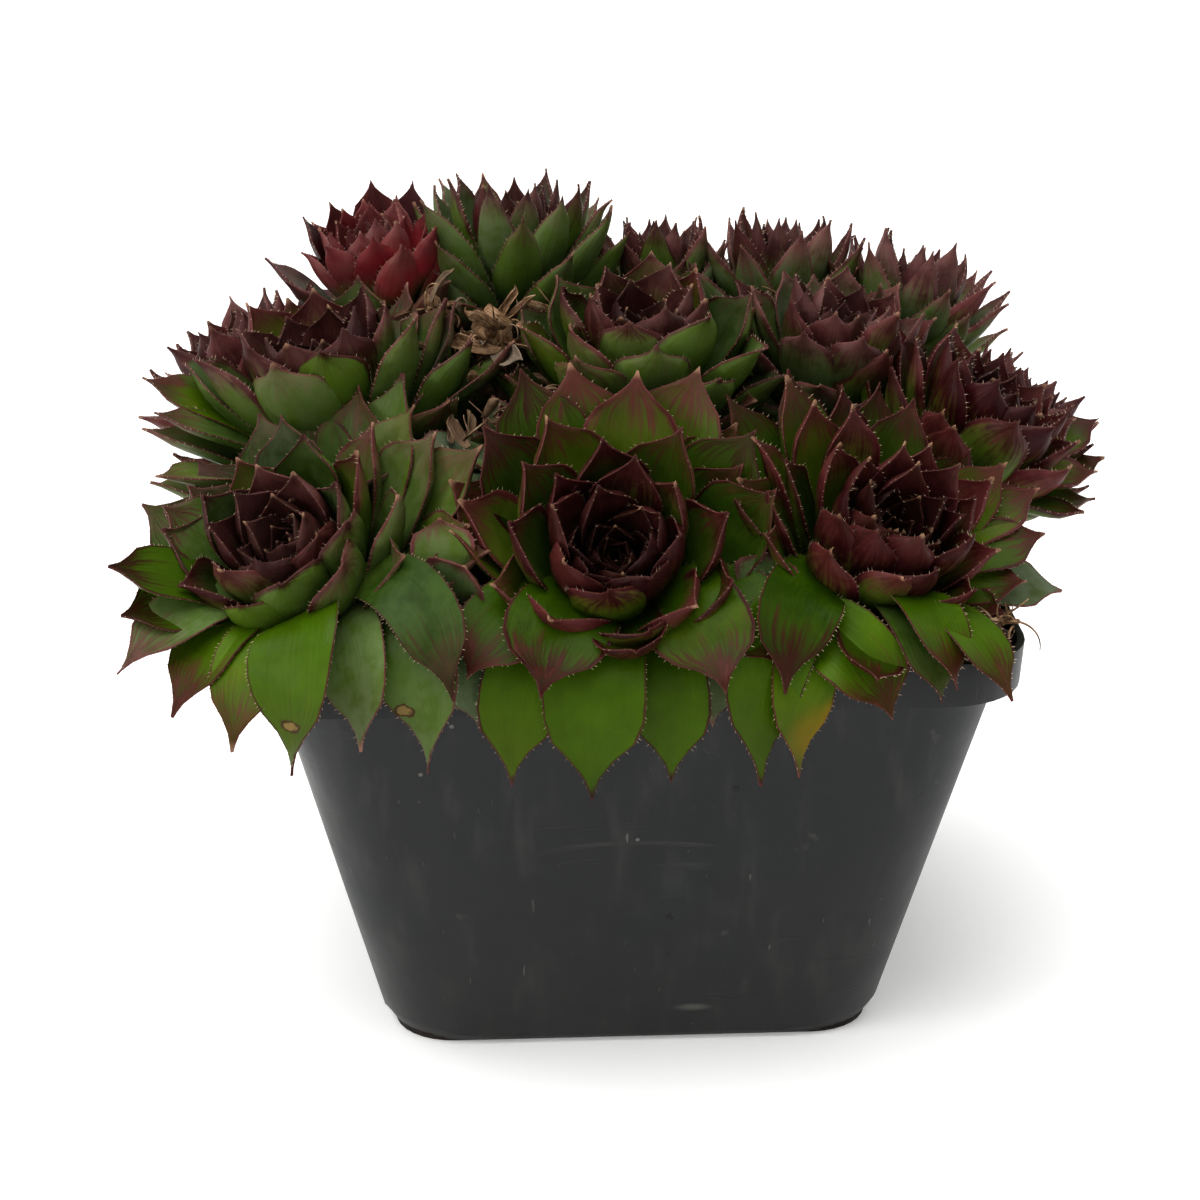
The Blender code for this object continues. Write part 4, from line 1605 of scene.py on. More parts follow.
@dataclass
class Clump:
    """All the rosettes, grown against each other, the mix and the pot's rim.

    A leaf is tried tries times. Each time it stands up by stand_up degrees, and where it is crowded it
    is shortened to a share of its length. Leaves older than led_from give way to those that are led.
    Feet stay foot_clearance clear of the mix, and undersides stay clearance clear of it. A leaf hangs if its
    point is less than hangs_below above the rim, and it passes over_rim_by and its own layer above it.
    """

    sizes: PotSizes
    plans: Sequence[Rosette]
    habit: Habit = Habit()
    tries: int = 22
    stand_up: float = 3.0
    shortening: float = 0.985
    led_from: float = 0.60
    hanging_from: float = 0.7
    foot_clearance: float = 1.0
    clearance: float = 0.2
    led_foot: float = 0.16
    hidden_below: float = 8.0
    hangs_below: float = 4.0
    hanging_cup: float = 24.0
    over_rim_by: float = 1.6
    clear_of_wall: float = 2.0
    way_steps: int = 60

    def cells(self) -> list[Cell]:
        """The rosettes' cells, each parted from all the others."""
        cells = [Cell.of(plan, self.sizes) for plan in self.plans]
        for cell in cells:
            for other in cells:
                if other is not cell and (cell.plan.offset or not other.plan.offset):
                    cell.part_from(other)
        return cells

    def settle(self, cell: Cell, leaf: Leaf) -> Leaf:
        """Stands a leaf up, shortens it a little or lays it over the rim, until it fits.

        Args:
            cell: The rosette's cell.
            leaf: The leaf as it would grow alone.

        Returns:
            The leaf where it fits.
        """
        start = self.raised_foot(cell, leaf.foot_height)
        if start > leaf.foot_height:
            leaf = replace(leaf, foot_height=start)
        across = np.tile([-0.75, 0.0, 0.75], 5)
        along = np.repeat([0.4, 0.6, 0.75, 0.88, 1.0], 3)
        under = -np.ones_like(along)
        for _ in range(self.tries):
            points = cell.frame.shaped(leaf, across, along, under)
            crowded = cell.beyond(points) > TIP_ALLOWANCE
            buried = self.sizes.depth(points).max() > -self.clearance
            if not crowded and not buried:
                break
            if buried and not crowded and leaf.age > 0.5:
                foot, tip = cell.frame.line(leaf, np.array([0.0, 1.0])).places
                laid = self.over_rim(leaf, foot, tip)
                if laid is not None:
                    return laid
            shorter = self.shortening if crowded else 1.0
            leaf = replace(leaf, opening=leaf.opening - self.stand_up, length=leaf.length * shorter)
        return leaf

    def raised_foot(self, cell: Cell, height: float) -> float:
        """The height of a leaf's foot above its rosette's middle, raised until it is clear of the mix."""
        while height < 0 and self.sizes.depth(cell.frame.up_axis(height)[None])[0] > -self.foot_clearance:
            height += 1.0
        return height

    def hidden_by_led(self, cell: Cell, leaf: Leaf) -> bool:
        """Whether a leaf would lie among the low leaves that are led to places of their own."""
        if not cell.plan.led:
            return False
        tip = cell.frame.line(leaf, np.array([0.9, 1.0])).places[1]
        toward = (tip - cell.frame.middle) @ cell.frame.down
        return bool(tip[2] < self.sizes.height + self.hidden_below and toward > 0)

    def led(self, cell: Cell, guide: Guide, rng: np.random.Generator) -> Leaf:
        """Makes one of the large leaves that are led to a place of their own.

        Args:
            cell: The rosette's cell.
            guide: Where the leaf goes and what it looks like.
            rng: The source of its small differences.

        Returns:
            The leaf.
        """
        frame, tip = cell.frame, np.array(guide.tip, float)
        foot = frame.up_axis(self.raised_foot(cell, -guide.tier * cell.plan.reach))
        outward = tip - foot
        outward -= frame.axis * outward.dot(frame.axis)
        foot = foot + outward / np.linalg.norm(outward) * self.led_foot * cell.plan.reach
        leaf = Leaf(
            azimuth=0.0,
            age=guide.age,
            length=float(np.linalg.norm(tip - foot)),
            width=guide.width,
            opening=70.0,
            curl=guide.curl,
            cup=guide.cup,
            roll=rng.uniform(-6, 6),
            seed=rng.uniform(0, 1),
            flush=guide.flush,
            bloom=guide.bloom,
        )
        laid = None
        if tip[2] < self.sizes.height + self.hangs_below:
            leaf = replace(leaf, cup=min(leaf.cup, self.hanging_cup), seed=leaf.seed * 0.7)
            laid = self.over_rim(leaf, foot, tip, guide.layer)
        knee = (foot + tip) / 2 + frame.axis * leaf.length * guide.arch
        return laid or replace(leaf, path=(foot, knee, tip))

    def over_rim(self, leaf: Leaf, foot: Array, tip: Array, layer: float = 1.0) -> Leaf | None:
        """Gives a leaf a path from its foot over the rim to its point.

        Args:
            leaf: The leaf.
            foot: Where it starts.
            tip: Where its point is.
            layer: How far above the rim it lies.

        Returns:
            The leaf on its path, or None if its point is inside the rim.
        """
        s = self.sizes
        foot, tip = foot.copy(), tip.copy()
        if s.outside(tip[0], tip[1], s.rim_half, s.corner) < 0.5:
            return None
        foot[2] = max(foot[2], float(s.mound(foot[0], foot[1])) + 0.8)
        way = foot + (tip - foot) * np.linspace(0, 1, self.way_steps)[:, None]
        past = s.outside(way[:, 0], way[:, 1], s.rim_half + 0.6, s.corner) > 0
        crossing = way[int(np.argmax(past))].copy()
        crossing[2] = max(crossing[2], s.height + self.over_rim_by + layer)
        while s.depth(tip[None])[0] > -self.clear_of_wall and tip[2] < s.height:
            tip[:2] *= 1.01
        near = np.linalg.norm(crossing - foot)
        share = np.clip(near / (near + np.linalg.norm(tip - crossing)), 0.25, 0.75)
        knee = (crossing - (1 - share) ** 2 * foot - share**2 * tip) / (2 * share * (1 - share))
        length = float(near + np.linalg.norm(tip - crossing))
        return replace(leaf, path=(foot, knee, tip), length=length)

    def grow(self, cell: Cell, press: LeafPress, rng: np.random.Generator) -> bpy.types.Object:
        """Grows one rosette.

        Args:
            cell: Its cell.
            press: What makes its leaves.
            rng: The source of its small differences.

        Returns:
            Its mesh, in millimetres.
        """
        plan = cell.plan
        heap = Heap(CHANNELS)
        for number in range(plan.leaves):
            leaf = self.habit.leaf(plan, number, rng)
            lowest = math.cos(math.radians(leaf.azimuth))
            if plan.led and leaf.age > self.led_from and lowest > 0.1:
                continue
            if leaf.age > self.hanging_from and plan.skirt:
                hanging = max(0.0, lowest) ** 1.5
                leaf = replace(leaf, length=leaf.length * (1 + plan.skirt * hanging))
            self.add_settled(cell, leaf, heap, press, rng)
        for guide in plan.led:
            press.add(heap, cell.frame, self.led(cell, guide, rng), rng)
        for number in range(plan.dry_leaves):
            turn = plan.phase + 360 * number / plan.dry_leaves
            dead = HANGING.leaf(plan.reach, rng, turn, foot_radius=2.0, foot_height=-0.70 * plan.reach)
            self.add_settled(cell, dead, heap, press, rng)
        for tuft in plan.tufts:
            tuft.add(heap, press, rng)
        self.stem(cell, heap)
        return heap.build(plan.node)

    def add_settled(
        self, cell: Cell, leaf: Leaf, heap: Heap, press: LeafPress, rng: np.random.Generator
    ) -> None:
        """Adds a leaf where it fits, unless the leaves that are led would hide it.

        Args:
            cell: The rosette's cell.
            leaf: The leaf as it would grow alone.
            heap: Where it goes.
            press: What makes it.
            rng: The source of its small differences.
        """
        leaf = self.settle(cell, leaf)
        if not self.hidden_by_led(cell, leaf):
            press.add(heap, cell.frame, leaf, rng)

    def stem(self, cell: Cell, heap: Heap) -> None:
        """Adds the rosette's short stem, clad in old leaf bases.

        Args:
            cell: The rosette's cell.
            heap: Where it goes.
        """
        top = cell.frame.middle - cell.frame.axis * cell.plan.reach * 0.05
        path = cell.seat + np.linspace(-0.1, 1, len(STEM_RADII))[:, None] * (top - cell.seat)
        points, faces = strand(path, cell.plan.reach * np.array(STEM_RADII), STEM_SIDES)
        add_skin(heap, points, faces, replace(STRAW, seed=0.4))

    def build(self, press: LeafPress, finish: LeafFinish) -> list[bpy.types.Object]:
        """Grows every rosette.

        Args:
            press: What makes the leaves.
            finish: The leaves' skin.

        Returns:
            The finished pieces.
        """
        material = finish.make()
        pieces = []
        for number, cell in enumerate(self.cells()):
            rng = np.random.default_rng(100 + number)
            grown = self.grow(cell, press, rng)
            name = "leaves_of_" + cell.plan.node
            pieces.append(finish_piece(grown, name, Slot.LEAF, [material], [cell.plan.node], sharp=70))
        return pieces


FRONT_CENTRE_LEAVES = (
    Guide((-22, -71, 62), 14.0, 0.10),
    Guide((-9, -73, 60), 17.5, 0.02, layer=3.5),
    Guide((4, -71, 62), 14.0, 0.06),
    Guide((-17, -74, 78), 18.0, 0.42, 0.15, cup=50, curl=60, age=0.80, layer=7.5),
    Guide((12, -73, 78), 18.0, 0.42, 0.15, cup=50, curl=60, age=0.80, layer=7.5),
    Guide((-2, -76, 84), 14.0, 0.50, 0.0, cup=50, curl=50, age=0.74),
    Guide((-29, -70, 80), 15.0, 0.34, 0.1, age=0.85, layer=5.0),
    Guide((23, -69, 80), 14.5, 0.42, 0.1, age=0.82, layer=5.5),
)
FRONT_LEFT_LEAVES = (
    Guide((-35, -72, 65), 15.5, 0.10, layer=4.0, bloom=0.25),
    Guide((-57, -72, 65), 16.5, 0.14, 0.2, layer=4.0),
    Guide((-46, -70, 68), 13.0, 0.08, 0.2, bloom=0.5),
    Guide((-31, -74, 78), 12.0, 0.25, 0.1, layer=10.5, bloom=0.1, age=0.86),
    Guide((-34, -65, 87), 12.5, 0.25, 0.1, bloom=0.2, age=0.86, cup=40),
    Guide((-77, -62, 71), 13.5, 0.36, layer=3.0),
    Guide((-67, -67, 67), 13.0, 0.26),
    Guide((-86, -58, 77), 13.0, 0.34, bloom=0.4, layer=5.0),
    Guide((-86, -52, 85), 14.5, 0.42, 0.15),
    Guide((-88, -50, 93), 13.5, 0.36, 0.2),
    Guide((-80, -36, 99), 13.0, 0.30, 0.2, bloom=0.3),
)
FRONT_RIGHT_LEAVES = (
    Guide((18, -71, 61), 14.5, 0.10, layer=4.2),
    Guide((24.5, -70, 62), 12.0, 0.10),
    Guide((59, -72, 75), 11.0, 0.30, cup=36, layer=2.0),
    Guide((50, -71, 77), 12.0, 0.40, cup=36, age=0.9, layer=5.0),
    Guide((48, -69, 74), 13.0, 0.16, layer=0.6, bloom=0.2),
    Guide((22, -71, 77), 14.0, 0.40, 0.1, age=0.84, layer=9.0),
    Guide((36, -75, 79), 12.5, 0.48, 0.0, cup=40, curl=26, age=0.80),
    Guide((53, -64, 82), 12.0, 0.42, 0.1, age=0.82, curl=30),
    Guide((74, -37, 81), 12.5, 0.05, arch=0.14, bloom=0.9, layer=2.0),
    Guide((61, -54, 83), 11.5, 0.40, 0.15, age=0.82, curl=20),
    Guide((66, -47, 86), 11.5, 0.45, 0.10, age=0.82, curl=20),
    Guide((70, -40, 92), 11.5, 0.45, 0.05, age=0.82, curl=24),
    Guide((70, -33, 98), 11.0, 0.50, 0.05, age=0.80, curl=24),
)
MIDDLE_LEFT_LEAVES = (
    Guide((-86, 0, 111), 12.0, 0.40, 0.2),
    Guide((-86, -5, 103), 13.0, 0.28, 0.4, bloom=0.3),
    Guide((-84, -15, 96), 14.0, 0.15, 0.60, bloom=0.4),
    Guide((-82, -24, 100), 13.0, 0.20, 0.35, bloom=0.4),
    Guide((-83, -12, 108), 11.5, 0.40, 0.25, bloom=0.3),
    Guide((-76, -30, 93), 13.0, 0.12, 0.6, bloom=0.4),
    Guide((-70, -38, 98), 13.0, 0.20, 0.4, bloom=0.7, age=0.9),
    Guide((-58, -42, 101), 13.5, 0.22, 0.4, bloom=0.7, age=0.9),
    Guide((-46, -40, 103), 13.5, 0.22, 0.4, bloom=0.7, age=0.9),
    Guide((-31, -14, 116), 11.0, 0.34, 0.3, arch=0.02, bloom=0.9, age=0.9, curl=30),
    Guide((-18, -14, 119), 12.5, 0.30, 0.2, arch=0.02, bloom=0.5, age=0.9, curl=30),
    Guide((-25, -10, 120), 10.5, 0.34, 0.35, arch=0.02, bloom=0.9, age=0.9, curl=30),
    Guide((-28, 0, 124), 11.0, 0.36, 0.3, arch=0.02, bloom=0.8, age=0.9, curl=24),
    Guide((-37, 12, 125), 11.0, 0.34, 0.3, arch=0.02, bloom=0.8, age=0.9, curl=24),
)
RIGHT_SIDE_LEAVES = (
    Guide((85, -10, 88), 12.5, 0.40, 0.3, curl=20),
    Guide((88, -2, 93), 11.5, 0.55, 0.2, curl=24),
    Guide((87, 0, 100), 11.0, 0.55, 0.1, age=0.85, curl=24),
    Guide((80, -24, 90), 11.0, 0.50, 0.2, age=0.85, curl=24),
    Guide((84, -16, 95), 11.0, 0.55, 0.1, age=0.85, curl=24),
)
FILL_LEFT_LEAVES = (
    Guide((-27, -67, 70), 11.5, 0.05, bloom=0.6, layer=-0.6),
    Guide((-37, -62, 91), 12.0, 0.18, -0.2, bloom=0.7, age=0.88),
    Guide((-29, -60, 96), 12.0, 0.22, -0.3, bloom=0.5, age=0.86),
    Guide((-33, -53, 102), 11.0, 0.25, -0.2, bloom=0.5, age=0.86),
)
FILL_RIGHT_LEAVES = (
    Guide((11, -67, 70), 11.0, 0.08, bloom=0.6, layer=-0.6),
    Guide((40, -71, 72), 14.0, 0.30, layer=2.0),
    Guide((17, -62, 90), 11.0, 0.22, -0.2, bloom=0.5, age=0.88),
    Guide((21, -58, 97), 11.0, 0.26, -0.3, bloom=0.4, age=0.86),
)
FILL_INNER_LEAVES = (
    Guide((-33, -40, 103), 11.5, 0.25, 0.2, bloom=0.8, age=0.9),
    Guide((-24, -42, 105), 11.0, 0.25, 0.1, bloom=0.6, age=0.88),
    Guide((-30, -46, 98), 12.0, 0.20, 0.4, bloom=0.6, age=0.92),
    Guide((-37, -32, 106), 11.0, 0.25, 0.1, bloom=0.8, age=0.88),
    Guide((-13, -36, 110), 11.0, 0.25, 0.0, bloom=0.5, age=0.86),
)
RED_BUD_LEAVES = (
    Guide((-65, 24, 127), 9.5, 0.60, 0.5, age=0.70, bloom=0.4),
    Guide((-58, 28, 134), 9.5, 0.75, 0.4, age=0.60),
    Guide((-53, 32, 136), 9.0, 0.80, 0.3, age=0.50),
    Guide((-45, 37, 139), 9.5, 0.85, 0.3, age=0.50),
    Guide((-37, 40, 138), 9.5, 0.85, 0.3, age=0.50),
    Guide((-61, 18, 124), 10.0, 0.50, 0.6, age=0.70, bloom=0.4),
)

ROSETTES = (
    Rosette("rosette_front_centre", (-4, -50, 90), 46, -93, 32, 64, 0.30, 0.33, 20, bloom=0.06,
            led=FRONT_CENTRE_LEAVES),
    Rosette("rosette_front_left", (-56, -40, 88), 38, -130, 32, 64, 0.20, 0.21, 75, bloom=0.28,
            led=FRONT_LEFT_LEAVES),
    Rosette("rosette_front_right", (39, -42, 88), 38, -56, 31, 74, 0.45, 0.40, 130, breadth=0.88,
            taper=0.15, bloom=0.06, led=FRONT_RIGHT_LEAVES),
    Rosette("rosette_middle_left", (-51, -4, 104), 14, 205, 34, 54, 0.45, 0.18, 10, bloom=0.24,
            led=MIDDLE_LEFT_LEAVES),
    Rosette("rosette_middle", (3, -9, 111), 8, -90, 31, 56, 0.45, 0.20, 200, bloom=0.20),
    Rosette("rosette_middle_right", (38, 2, 110), 14, -40, 26, 56, 0.45, 0.34, 60, bloom=0.5,
            taper=0.2),
    Rosette("rosette_right_side", (60, -13, 98), 34, -14, 28, 72, 0.45, 0.44, 310, bloom=0.08,
            taper=0.25, led=RIGHT_SIDE_LEAVES),
    Rosette("rosette_red_bud", (-43, 25, 118), 12, 200, 20, 60, 1.0, 0.85, 0, red=0.9, dry_leaves=14,
            taper=0.35, bloom=0.6, led=RED_BUD_LEAVES),
    Rosette("rosette_top_left", (-19, 30, 122), 6, 90, 31, 62, 0.40, 0.13, 45, bloom=0.40, breadth=0.72,
            taper=0.45, tufts=(Tuft((-36, 8, 95), (-8, 12, 97), 18, 0, 17.0, spread=2.5),)),
    Rosette("rosette_top_centre", (9, 33, 118), 8, 80, 22, 44, 0.45, 0.36, 90, bloom=0.5, breadth=0.80,
            taper=0.55),
    Rosette("rosette_top_right", (32, 30, 117), 10, 60, 25, 46, 0.45, 0.38, 150, bloom=0.55,
            breadth=0.78, taper=0.55),
    Rosette("rosette_right_shoulder", (56, 27, 112), 20, 30, 25, 46, 0.48, 0.38, 220, bloom=0.6,
            breadth=0.80, taper=0.55),
    Rosette("rosette_left_side", (-66, 17, 103), 30, 170, 24, 50, 0.55, 0.56, 260, bloom=0.4,
            taper=0.4),
    Rosette("rosette_right_flank", (71, 9, 96), 36, 12, 21, 50, 0.45, 0.50, 310, bloom=0.4, taper=0.4),
    Rosette("rosette_rear_left", (-46, 55, 97), 40, 128, 30, 56, 0.35, 0.34, 15, 0.12, bloom=0.3),
    Rosette("rosette_rear_centre", (-4, 62, 97), 42, 92, 30, 56, 0.30, 0.28, 100, 0.12, bloom=0.3),
    Rosette("rosette_rear_right", (42, 54, 97), 42, 56, 30, 56, 0.35, 0.40, 190, 0.12, bloom=0.3),
    Rosette("offset_front_left", (-32, -54, 87), 60, -95, 11, 0, 0.70, 0.12, 30, dry_leaves=2,
            offset=True, bloom=0.6, led=FILL_LEFT_LEAVES),
    Rosette("offset_front_right", (19, -57, 85), 64, -88, 10, 0, 0.70, 0.20, 80, dry_leaves=2,
            offset=True, bloom=0.6, led=FILL_RIGHT_LEAVES),
    Rosette("offset_inner_left", (-19, -22, 103), 20, -100, 12, 18, 0.85, 0.20, 140, dry_leaves=2,
            offset=True, bloom=0.6, led=FILL_INNER_LEAVES,
            tufts=(Tuft((-29, -31, 108), (-13, -23, 114), 12, 22, 6.5),)),
)


# ---------------------------------------------------------------- dead stalks and leaves, and bark


@dataclass(frozen=True)
class StrawFinish:
    """Dead houseleek tissue, dried in the air: papery and fibrous, tan to grey-brown, without gloss."""

    dark: str = "#2b1d14"
    tan: str = "#7f6247"
    pale: str = "#ab947a"
    grey: str = "#6c665d"

    def make(self) -> bpy.types.Material:
        """Builds the material."""
        paint = Paint.named("houseleek_straw_air_dried")
        add = paint.add
        place = add("TexCoord", give=OBJECT_PLACE)
        blade, kind = (add("Attribute", attribute_name=name) for name in CHANNELS[:2])
        across, along, _ = add("SeparateColor", blade, give=EVERY)
        _, seed, _ = add("SeparateColor", kind, give=EVERY)
        # Fibres run along every piece, about 25 side by side.
        fibres = add("TexNoise", paint.drawn((across, 26.0), (along, 5.0), (seed, 57.0)), 1.0, 3.0)
        tone = add("Mix.FLOAT", 0.45, fibres, add("TexNoise", place, 420.0, 4.0, 0.65))
        straw = add("ValToRGB", tone, stops=((0.36, self.dark), (0.50, self.tan), (0.66, self.pale)))
        greyed = add("MapRange", seed, 0.6, 1.0, 0.0, 0.75)
        return paint.dress(
            Base_Color=add("Mix.RGBA", greyed, straw, self.grey),
            Normal=add("Bump", 0.8, 0.0006, None, tone), Roughness=0.88, Specular_IOR_Level=0.2,
        )


@dataclass(frozen=True)
class DryStalk:
    """An old flower stalk that has broken off: it tapers, wobbles, and carries bracts and threads.

    Its foot is in the mix. Girth is its width at the foot, and taper its width at the top as a share of
    that. Its bracts and threads are in its top part, from the share of its height that bare gives.
    """

    node: str
    foot: Pair
    tip: Triple
    girth: float
    taper: float
    bracts: int
    threads: int
    seed: int
    bract_length: float = 8.0
    bare: float = 0.78
    thatch: int = 0
    sides: int = 11
    splinters: int = 9
    steps: int = 19

    def build(self, sizes: PotSizes, press: LeafPress, material: bpy.types.Material) -> bpy.types.Object:
        """Models the stalk.

        Args:
            sizes: The pot and its mix.
            press: What makes its bracts.
            material: Its straw.

        Returns:
            The finished piece.
        """
        rng = np.random.default_rng(self.seed)
        heap = Heap(CHANNELS)
        low = np.array([*self.foot, float(sizes.mound(*self.foot)) - 0.8])
        steps = np.linspace(0, 1, self.steps)
        path = low + steps[:, None] * (np.array(self.tip) - low)
        path[:, 0] += 0.5 * np.sin(9 * steps + self.seed)
        path[:, 1] += 0.4 * np.sin(7 * steps + 2 * self.seed)
        scars = 1 + 0.13 * np.sin(steps * 46) + rng.uniform(-0.05, 0.05, len(steps))
        radii = self.girth / 2 * (1 + (self.taper - 1) * steps) * scars
        self.fibre(heap, path, radii, self.sides, rng)
        for _ in range(self.splinters):
            turn = rng.uniform(0, 2 * math.pi)
            edge = path[-3] + np.array([math.cos(turn), math.sin(turn), 0]) * radii[-1] * 0.75
            rise = np.array([rng.normal(0, 0.5), rng.normal(0, 0.5), rng.uniform(1.5, 4.0)])
            splinter = edge + np.linspace(0, 1, 4)[:, None] * rise
            self.fibre(heap, splinter, np.array([0.7, 0.55, 0.35, 0.08]) * self.girth / 6, 5, rng)
        top = path[int(self.bare * (len(path) - 1))]
        if self.thatch:
            under = path[int(self.bare * 14)]
            thatch = Tuft(tuple(under), tuple(top), self.thatch, self.thatch, 11.0, 8.0, self.girth * 0.6)
            thatch.add(heap, press, rng)
        crown = (tuple(top), tuple(path[-1]), self.bracts, self.threads, self.bract_length)
        Tuft(*crown, spread=self.girth * 0.18).add(heap, press, rng)
        name = "dry_" + self.node.replace("withered_", "")
        return finish_piece(heap.build(name), name, Slot.WITHERED, [material], [self.node], sharp=60)

    def fibre(self, heap: Heap, path: Array, radii: Array, sides: int, rng: np.random.Generator) -> None:
        """Adds one round length of straw.

        Args:
            heap: Where it goes.
            path: The places that it passes.
            radii: Its radius at each place.
            sides: How many sides it has.
            rng: The source of its tone.
        """
        points, faces = strand(path, radii, sides)
        rows = np.repeat(np.arange(len(path)), sides) / (len(path) - 1)
        along = np.concatenate([rows, [0.0, 1.0]])
        across = np.concatenate([np.tile(np.abs(np.linspace(-1, 1, sides)), len(path)), [0.5, 0.5]])
        add_skin(heap, points, faces, replace(STRAW, seed=rng.uniform(0, 0.55)), across, along)


@dataclass(frozen=True)
class BarkFinish:
    """Composted pine bark: layered, cracked and matt, and a reddish brown that is nearly black when moist."""

    dark: str = "#150d09"
    brown: str = "#38241a"
    worn: str = "#5d432f"

    def make(self) -> bpy.types.Material:
        """Builds the material."""
        paint = Paint.named("pine_bark_composted")
        add = paint.add
        place = add("TexCoord", give=OBJECT_PLACE)
        # Layers of bark are about 0.5 mm thick.
        layers = add("TexNoise", add("Mapping", place, None, None, (1.0, 1.0, 4.0)), 480.0, 4.0, 0.6)
        cracks = add("TexVoronoi.DISTANCE_TO_EDGE", place, 560.0)
        tone = add("Math.MULTIPLY_ADD", cracks, 0.7, layers)
        colour = add("ValToRGB", tone, stops=((0.38, self.dark), (0.62, self.brown), (0.90, self.worn)))
        return paint.dress(Base_Color=colour, Normal=add("Bump", 0.9, 0.0008, None, tone), Roughness=0.9)


@dataclass(frozen=True)
class BarkChip:
    """A chip of bark on the mix: a flat flake with broken ends, split along its grain."""

    node: str
    length: float
    width: float
    thickness: float
    heading: float
    seed: int
    cuts: int = 9

    def build(self, material: bpy.types.Material) -> bpy.types.Object:
        """Models the chip.

        Args:
            material: Its bark.

        Returns:
            The finished piece.
        """
        low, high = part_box(self.node)
        middle = (Vector(low) + Vector(high)) / 2 / MM
        bpy.ops.mesh.primitive_cube_add(size=1, location=(0, 0, 0))
        chip = bpy.context.object
        edit_all(chip)
        bpy.ops.transform.resize(value=(self.length, self.width, self.thickness))
        bpy.ops.mesh.subdivide(number_cuts=self.cuts)
        bpy.ops.object.mode_set(mode="OBJECT")
        for vert in chip.data.vertices:
            place = vert.co + Vector((31.0 * self.seed, 0, 0))
            end = abs(vert.co.x) / self.length * 2
            side = abs(vert.co.y) / self.width * 2
            vert.co.z *= 1 - 0.35 * end**2 - 0.25 * side**2
            vert.co.x += 1.1 * noise.noise(Vector((0, place.y * 0.9, place.z * 0.6 + self.seed))) * end
            vert.co.y += 0.5 * noise.noise(Vector((place.x * 0.5, 0, place.z * 0.8 + self.seed))) * side
            vert.co.z += 0.35 * noise.noise(Vector((place.x * 0.3, place.y * 1.6, place.z * 0.5)))
        turn = Matrix.Rotation(math.radians(self.heading), 4, "Z")
        chip.data.transform(Matrix.Translation(middle) @ turn)
        return finish_piece(chip, self.node + "_piece", Slot.BARK, [material], [self.node], sharp=35)


@dataclass(frozen=True)
class Litter:
    """Everything dead on the clump and the mix: old stalks, dry leaves and chips of bark."""

    stalks: tuple[DryStalk, ...] = (
        DryStalk("flower_stalk_stump", (-22, 1), (-23, -1, 121), 7.4, 0.95, 6, 20, 1, 7.0, 0.86, 22),
        DryStalk("withered_stalk_left", (-32, 8), (-34, 10, 123), 3.2, 0.55, 5, 6, 2, 6.0),
        DryStalk("withered_leaf_middle", (-13, 8), (-10, 12, 122), 2.6, 0.5, 5, 4, 3, 9.0),
        DryStalk("withered_leaf_right", (28, 13), (29, 12, 119), 2.6, 0.5, 6, 5, 4, 8.0),
        DryStalk("withered_leaf_corner", (50, -46), (62, -58, 84), 2.0, 0.4, 1, 16, 5, 5.0, 0.3),
    )
    chips: tuple[BarkChip, ...] = (
        BarkChip("bark_chip_corner", 9.0, 6.0, 3.0, -35.0, 1),
        BarkChip("bark_chip_edge", 7.0, 5.0, 2.5, 70.0, 2),
    )

    def build(self, sizes: PotSizes, press: LeafPress, straw: StrawFinish, bark: BarkFinish) -> None:
        """Models every piece.

        Args:
            sizes: The pot and its mix.
            press: What makes dry leaves.
            straw: The dead tissue's look.
            bark: The bark's look.
        """
        material = straw.make()
        for stalk in self.stalks:
            stalk.build(sizes, press, material)
        material = bark.make()
        for chip in self.chips:
            chip.build(material)


# ---------------------------------------------------------------- the studio


@dataclass(frozen=True)
class SweepFinish:
    """White paper, rolled smooth: matt and even, with a glow that keeps the shadows soft and pale."""

    shaded: str = "#f4f4f3"
    white: str = "#f7f7f6"
    glow: float = 0.18

    def make(self) -> bpy.types.Material:
        """Builds the material."""
        paint = Paint.named("paper_sweep_matt")
        grain = paint.add("TexNoise", paint.add("TexCoord", give=OBJECT_PLACE), 3.0, 2.0)
        colour = paint.add("ValToRGB", grain, stops=((0.3, self.shaded), (0.7, self.white)))
        return paint.dress(
            Base_Color=colour, Roughness=0.9, Emission_Color="#ffffff", Emission_Strength=self.glow
        )


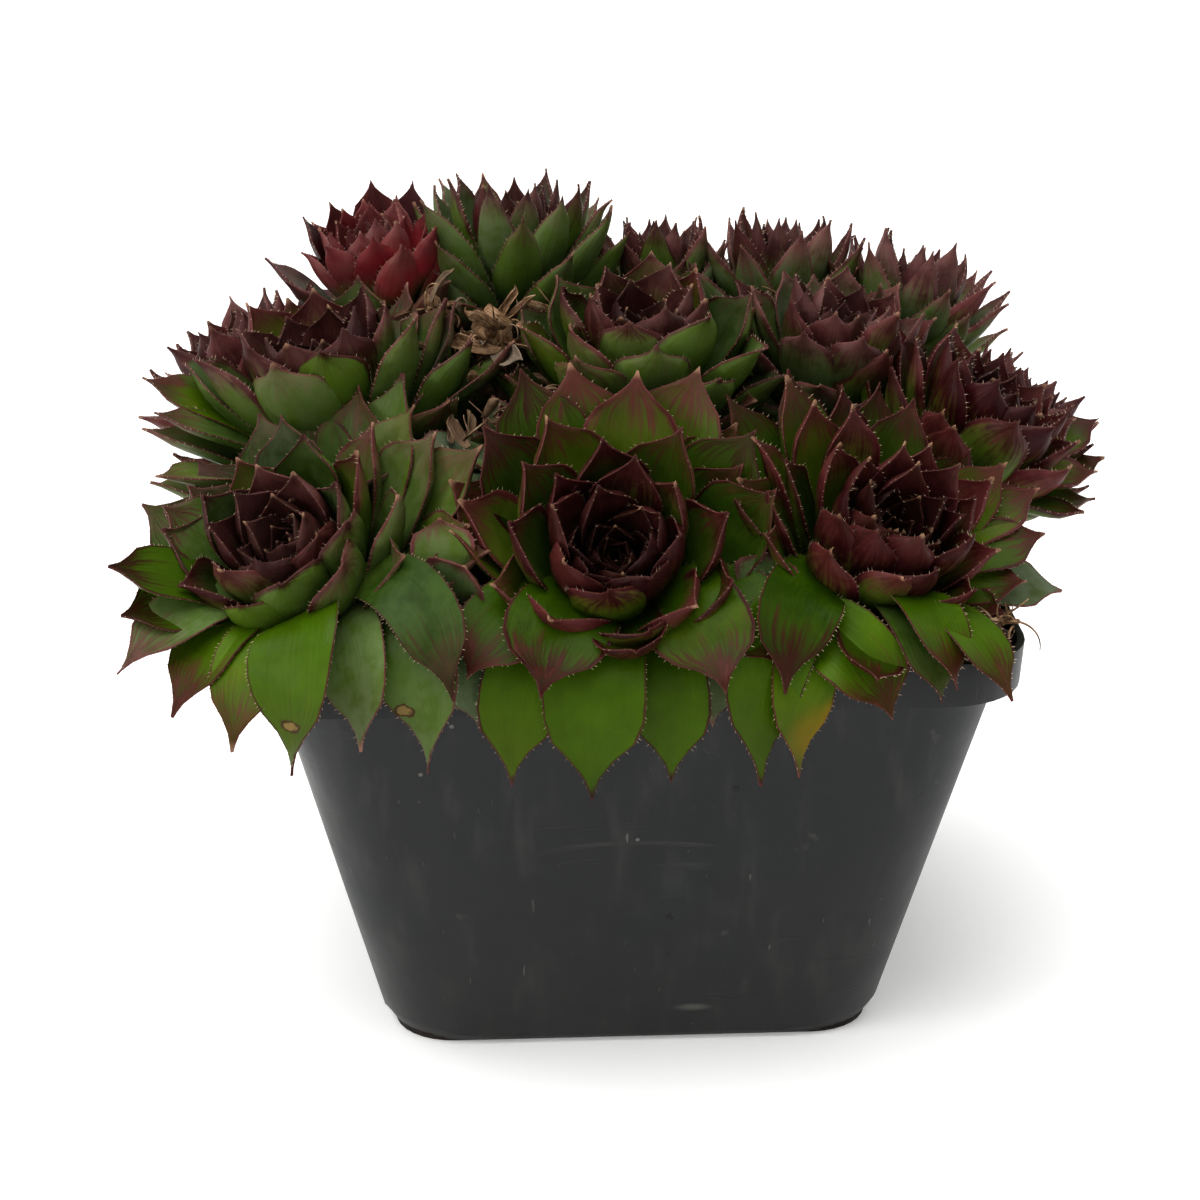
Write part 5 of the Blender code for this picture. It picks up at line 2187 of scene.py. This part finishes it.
@dataclass(frozen=True)
class Studio:
    """A pale round floor that sweeps up into a wall, soft lights overhead, and the camera."""

    floor_radius: float = 3.2
    floor_sides: int = 96
    floor_drop: float = 0.0002
    bend_radius: float = 0.9
    bend_steps: int = 8
    wall_height: float = 2.4
    air: float = 0.135
    azimuth: float = -3.0
    elevation: float = 20.0
    distance: float = 0.55
    aim: Triple = (-0.003926, 0.0, 0.067777)
    lens: float = 89.18

    def sweep(self) -> bpy.types.Object:
        """Models the floor and wall, spun from one profile."""
        bpy.ops.mesh.primitive_circle_add(
            vertices=self.floor_sides,
            radius=self.floor_radius,
            fill_type="NGON",
            location=(0, 0, -self.floor_drop),
        )
        floor = bpy.context.object
        edit_all(floor)
        for step in range(1, self.bend_steps + 1):
            turn = math.pi / 2 * step / self.bend_steps
            before = math.pi / 2 * (step - 1) / self.bend_steps
            rise = self.bend_radius * (math.cos(before) - math.cos(turn))
            out = self.bend_radius * (math.sin(turn) - math.sin(before))
            radius = self.floor_radius + self.bend_radius * math.sin(before)
            growth = (radius + out) / radius
            bpy.ops.mesh.extrude_region_move(TRANSFORM_OT_translate={"value": (0, 0, rise)})
            bpy.ops.transform.resize(value=(growth, growth, 1))
        bpy.ops.mesh.extrude_region_move(TRANSFORM_OT_translate={"value": (0, 0, self.wall_height)})
        bpy.ops.mesh.delete(type="ONLY_FACE")
        bpy.ops.object.mode_set(mode="OBJECT")
        return floor

    def build(self) -> None:
        """Sets up the floor, the lights and the camera."""
        floor = self.sweep()
        floor.name = "studio_floor"
        only(floor)
        bpy.ops.object.shade_smooth()
        floor.data.materials.append(SweepFinish().make())
        world = bpy.data.worlds.new("studio_air")
        bpy.context.scene.world = world
        world.use_nodes = True
        air = world.node_tree.nodes["Background"].inputs
        air["Color"].default_value = linear("#ffffff")
        air["Strength"].default_value = self.air
        self.lamp("overhead_soft_box", (-0.35, -0.15, 2.0), 2.6, 63.0)
        self.lamp("left_soft_box", (-1.1, -0.5, 0.55), 0.5, 4.0)
        self.lamp("front_soft_box", (0.25, -1.7, 0.45), 1.0, 1.2)
        bpy.context.scene.view_settings.view_transform = "Standard"
        bpy.context.scene.view_settings.look = "Medium High Contrast"
        self.camera()

    def lamp(self, name: str, place: Triple, size: float, power: float) -> None:
        """Adds a square soft box that faces the plant.

        Args:
            name: Its name.
            place: Where it is, in metres.
            size: Its side, in metres.
            power: Its power, in watts.
        """
        data = bpy.data.lights.new(name, "AREA")
        data.size = size
        data.energy = power
        lamp = placed(name, data)
        lamp.location = place
        lamp.rotation_euler = (Vector(self.aim) - Vector(place)).to_track_quat("-Z", "Y").to_euler()

    def camera(self) -> None:
        """Adds the camera, a little above the rim and a little to the left."""
        turn, rise = math.radians(self.azimuth), math.radians(self.elevation)
        back = Vector((math.sin(turn) * math.cos(rise), -math.cos(turn) * math.cos(rise), math.sin(rise)))
        data = bpy.data.cameras.new("camera")
        data.lens = self.lens
        camera = placed("camera", data)
        camera.location = Vector(self.aim) + back * self.distance
        camera.rotation_euler = (-back).to_track_quat("-Z", "Y").to_euler()
        bpy.context.scene.camera = camera


def main() -> None:
    """Builds every piece, in order."""
    logging.basicConfig(level=logging.INFO, format="%(name)s: %(message)s")
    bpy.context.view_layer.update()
    Studio().build()
    sizes = PotSizes()
    NurseryPot(sizes).build(PotFinish())
    PottingMix(sizes).build(MixFinish())
    press = LeafPress.make()
    Clump(sizes, ROSETTES).build(press, LeafFinish())
    Litter().build(sizes, press, StrawFinish(), BarkFinish())


if __name__ == "__main__":
    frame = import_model()
    main()
